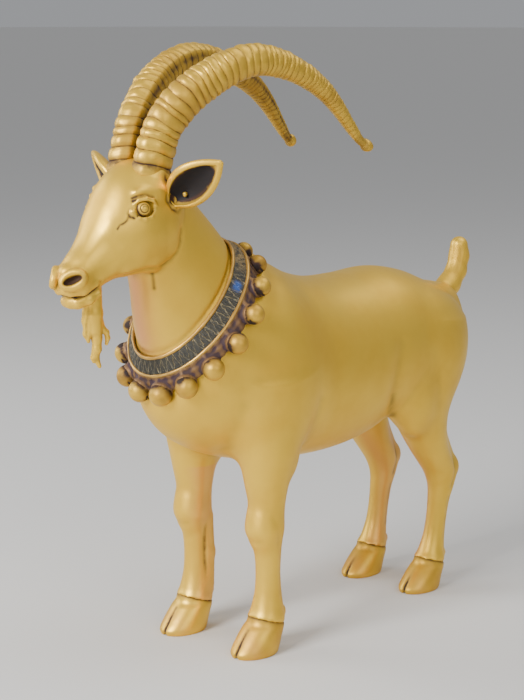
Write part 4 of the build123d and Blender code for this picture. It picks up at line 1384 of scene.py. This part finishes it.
def build_bells(materials):
    """Sixteen round bells, each a little dented, with a slit in its lower face."""
    rings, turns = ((40, 64))
    random = np.random.default_rng(23)
    for number, point, outward, radius, _ in bell_places():
        out = Vector(outward)
        down = (Vector((0, 0, -1)) - Vector((0, 0, -1)).dot(out) * out).normalized()
        beside = out.cross(down)
        phase = random.uniform(0, math.tau, 6)
        angle = np.linspace(0, math.pi, rings + 1)[:, None]
        around = np.linspace(0, math.tau, turns, endpoint=False)[None]
        direction = (np.cos(angle)[..., None] * np.array(out)
                     + (np.sin(angle) * np.cos(around))[..., None] * np.array(down)
                     + (np.sin(angle) * np.sin(around))[..., None] * np.array(beside))
        low_part = direction @ np.array(down)
        side_part = direction @ np.array(beside)
        out_part = direction @ np.array(out)
        slit = np.exp(-((out_part - 0.12) / 0.075) ** 2) * np.clip((low_part - 0.35) / 0.2, 0, 1)
        dent = 0.10 * np.sin(3 * direction[..., 0] * 2 + phase[0]) + 0.08 * np.sin(5 * direction[..., 2] + phase[1])
        dent += 0.05 * np.sin(9 * direction[..., 1] + phase[2]) * np.sin(7 * direction[..., 2] + phase[3])
        size = radius * (1 + 0.018 * dent) + 0.12 * dent - 0.35 * slit
        vertices = (direction * size[..., None]).reshape(-1, 3) + point
        # Painted shade darkens the back of each bell, where it sits in its cup on the strip; the blotches are
        # patina.
        shade = np.clip((-out_part + 0.55) / 0.75, 0, 1) ** 1.3
        blotch = np.clip(np.sin(2.5 * side_part + phase[4]) * np.sin(3 * low_part + phase[5]) * 1.6 - 0.35, 0, 1)
        blotch *= np.clip(0.95 - out_part, 0, 1)
        stain_and_shade = np.clip(0.75 * shade + 0.95 * slit + 0.85 * blotch, 0, 1)
        faces = wound_outward(vertices, ball_faces(rings, turns), vertices.mean(axis=0))
        layers = {"hollow": 0.8 * slit.ravel(), "stain_and_shade": stain_and_shade.ravel(), "blush": np.zeros(len(vertices))}
        piece = make_piece(f"bell_{number:02d}_ball", vertices, faces, materials["bell"], layers)
        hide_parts(f"bell_{number:02d}")


# ---------------------------------------------------------------- stage
def build_stage():
    """A plain pale floor, soft lights and the camera."""
    floor_mesh = bpy.data.meshes.new("floor")
    corners = [(FLOOR_REACH * x, FLOOR_REACH * y, 0) for x, y in ((-1, -1), (1, -1), (1, 1), (-1, 1))]
    floor_mesh.from_pydata(corners, [], [(0, 1, 2, 3)])
    floor = bpy.data.objects.new("floor", floor_mesh)
    bpy.context.scene.collection.objects.link(floor)
    shade = bpy.data.materials.new("floor")
    shade.use_nodes = True
    shade.node_tree.nodes["Principled BSDF"].inputs["Base Color"].default_value = (0.62, 0.61, 0.59, 1)
    shade.node_tree.nodes["Principled BSDF"].inputs["Roughness"].default_value = 0.9
    floor_mesh.materials.append(shade)

    world = bpy.data.worlds.new("soft_world")
    world.use_nodes = True
    world.node_tree.nodes["Background"].inputs["Color"].default_value = (0.94, 0.96, 1.0, 1)
    # The sky darkens towards the horizon to meet the floor, so that the gold mirrors no hard edge.
    direction = world.node_tree.nodes.new("ShaderNodeTexCoord").outputs["Generated"]
    split = world.node_tree.nodes.new("ShaderNodeSeparateXYZ")
    ramp = world.node_tree.nodes.new("ShaderNodeMapRange")
    ramp.interpolation_type = "SMOOTHSTEP"
    ramp.inputs["From Max"].default_value = 0.55
    ramp.inputs["To Min"].default_value = 0.36
    ramp.inputs["To Max"].default_value = 0.5
    world.node_tree.links.new(direction, split.inputs[0])
    world.node_tree.links.new(split.outputs["Z"], ramp.inputs["Value"])
    world.node_tree.links.new(ramp.outputs[0], world.node_tree.nodes["Background"].inputs["Strength"])
    bpy.context.scene.world = world
    aim = Vector((0, 0, 0.15))
    lights = (
        ("key", (0.00, -1.05, 0.70), 0.45, 19.0),
        ("fill", (-0.90, -0.40, 0.50), 0.6, 5.0),
        ("side", (0.95, -0.30, 0.60), 0.6, 2.6),
        ("top", (0.30, 0.45, 1.20), 0.9, 5.0),
    )
    for name, place, size, power in lights:
        light = bpy.data.lights.new(name, "AREA")
        light.size = size
        light.energy = power
        lamp = bpy.data.objects.new(name, light)
        lamp.location = place
        lamp.rotation_euler = (aim - Vector(place)).to_track_quat("-Z", "Y").to_euler()
        bpy.context.scene.collection.objects.link(lamp)

    camera_data = bpy.data.cameras.new("camera")
    camera_data.lens = CAMERA_LENS
    camera_data.sensor_width = 36.0
    camera_data.sensor_fit = "AUTO"
    camera_data.clip_start = 0.01
    camera = bpy.data.objects.new("camera", camera_data)
    camera.location = Vector((CAMERA_PLACE + SHIFT) * MM)
    camera.rotation_euler = (math.pi / 2 - CAMERA_PITCH, 0, CAMERA_TURN)
    bpy.context.scene.collection.objects.link(camera)
    bpy.context.scene.camera = camera


materials = build_materials()
build_stage()
build_body(materials)
build_hooves(materials)
build_head(materials)
build_eyes(materials)
build_ears(materials)
build_beard(materials)
build_horns(materials)
build_band(materials)
build_rims(materials)
build_strip(materials)
build_bells(materials)
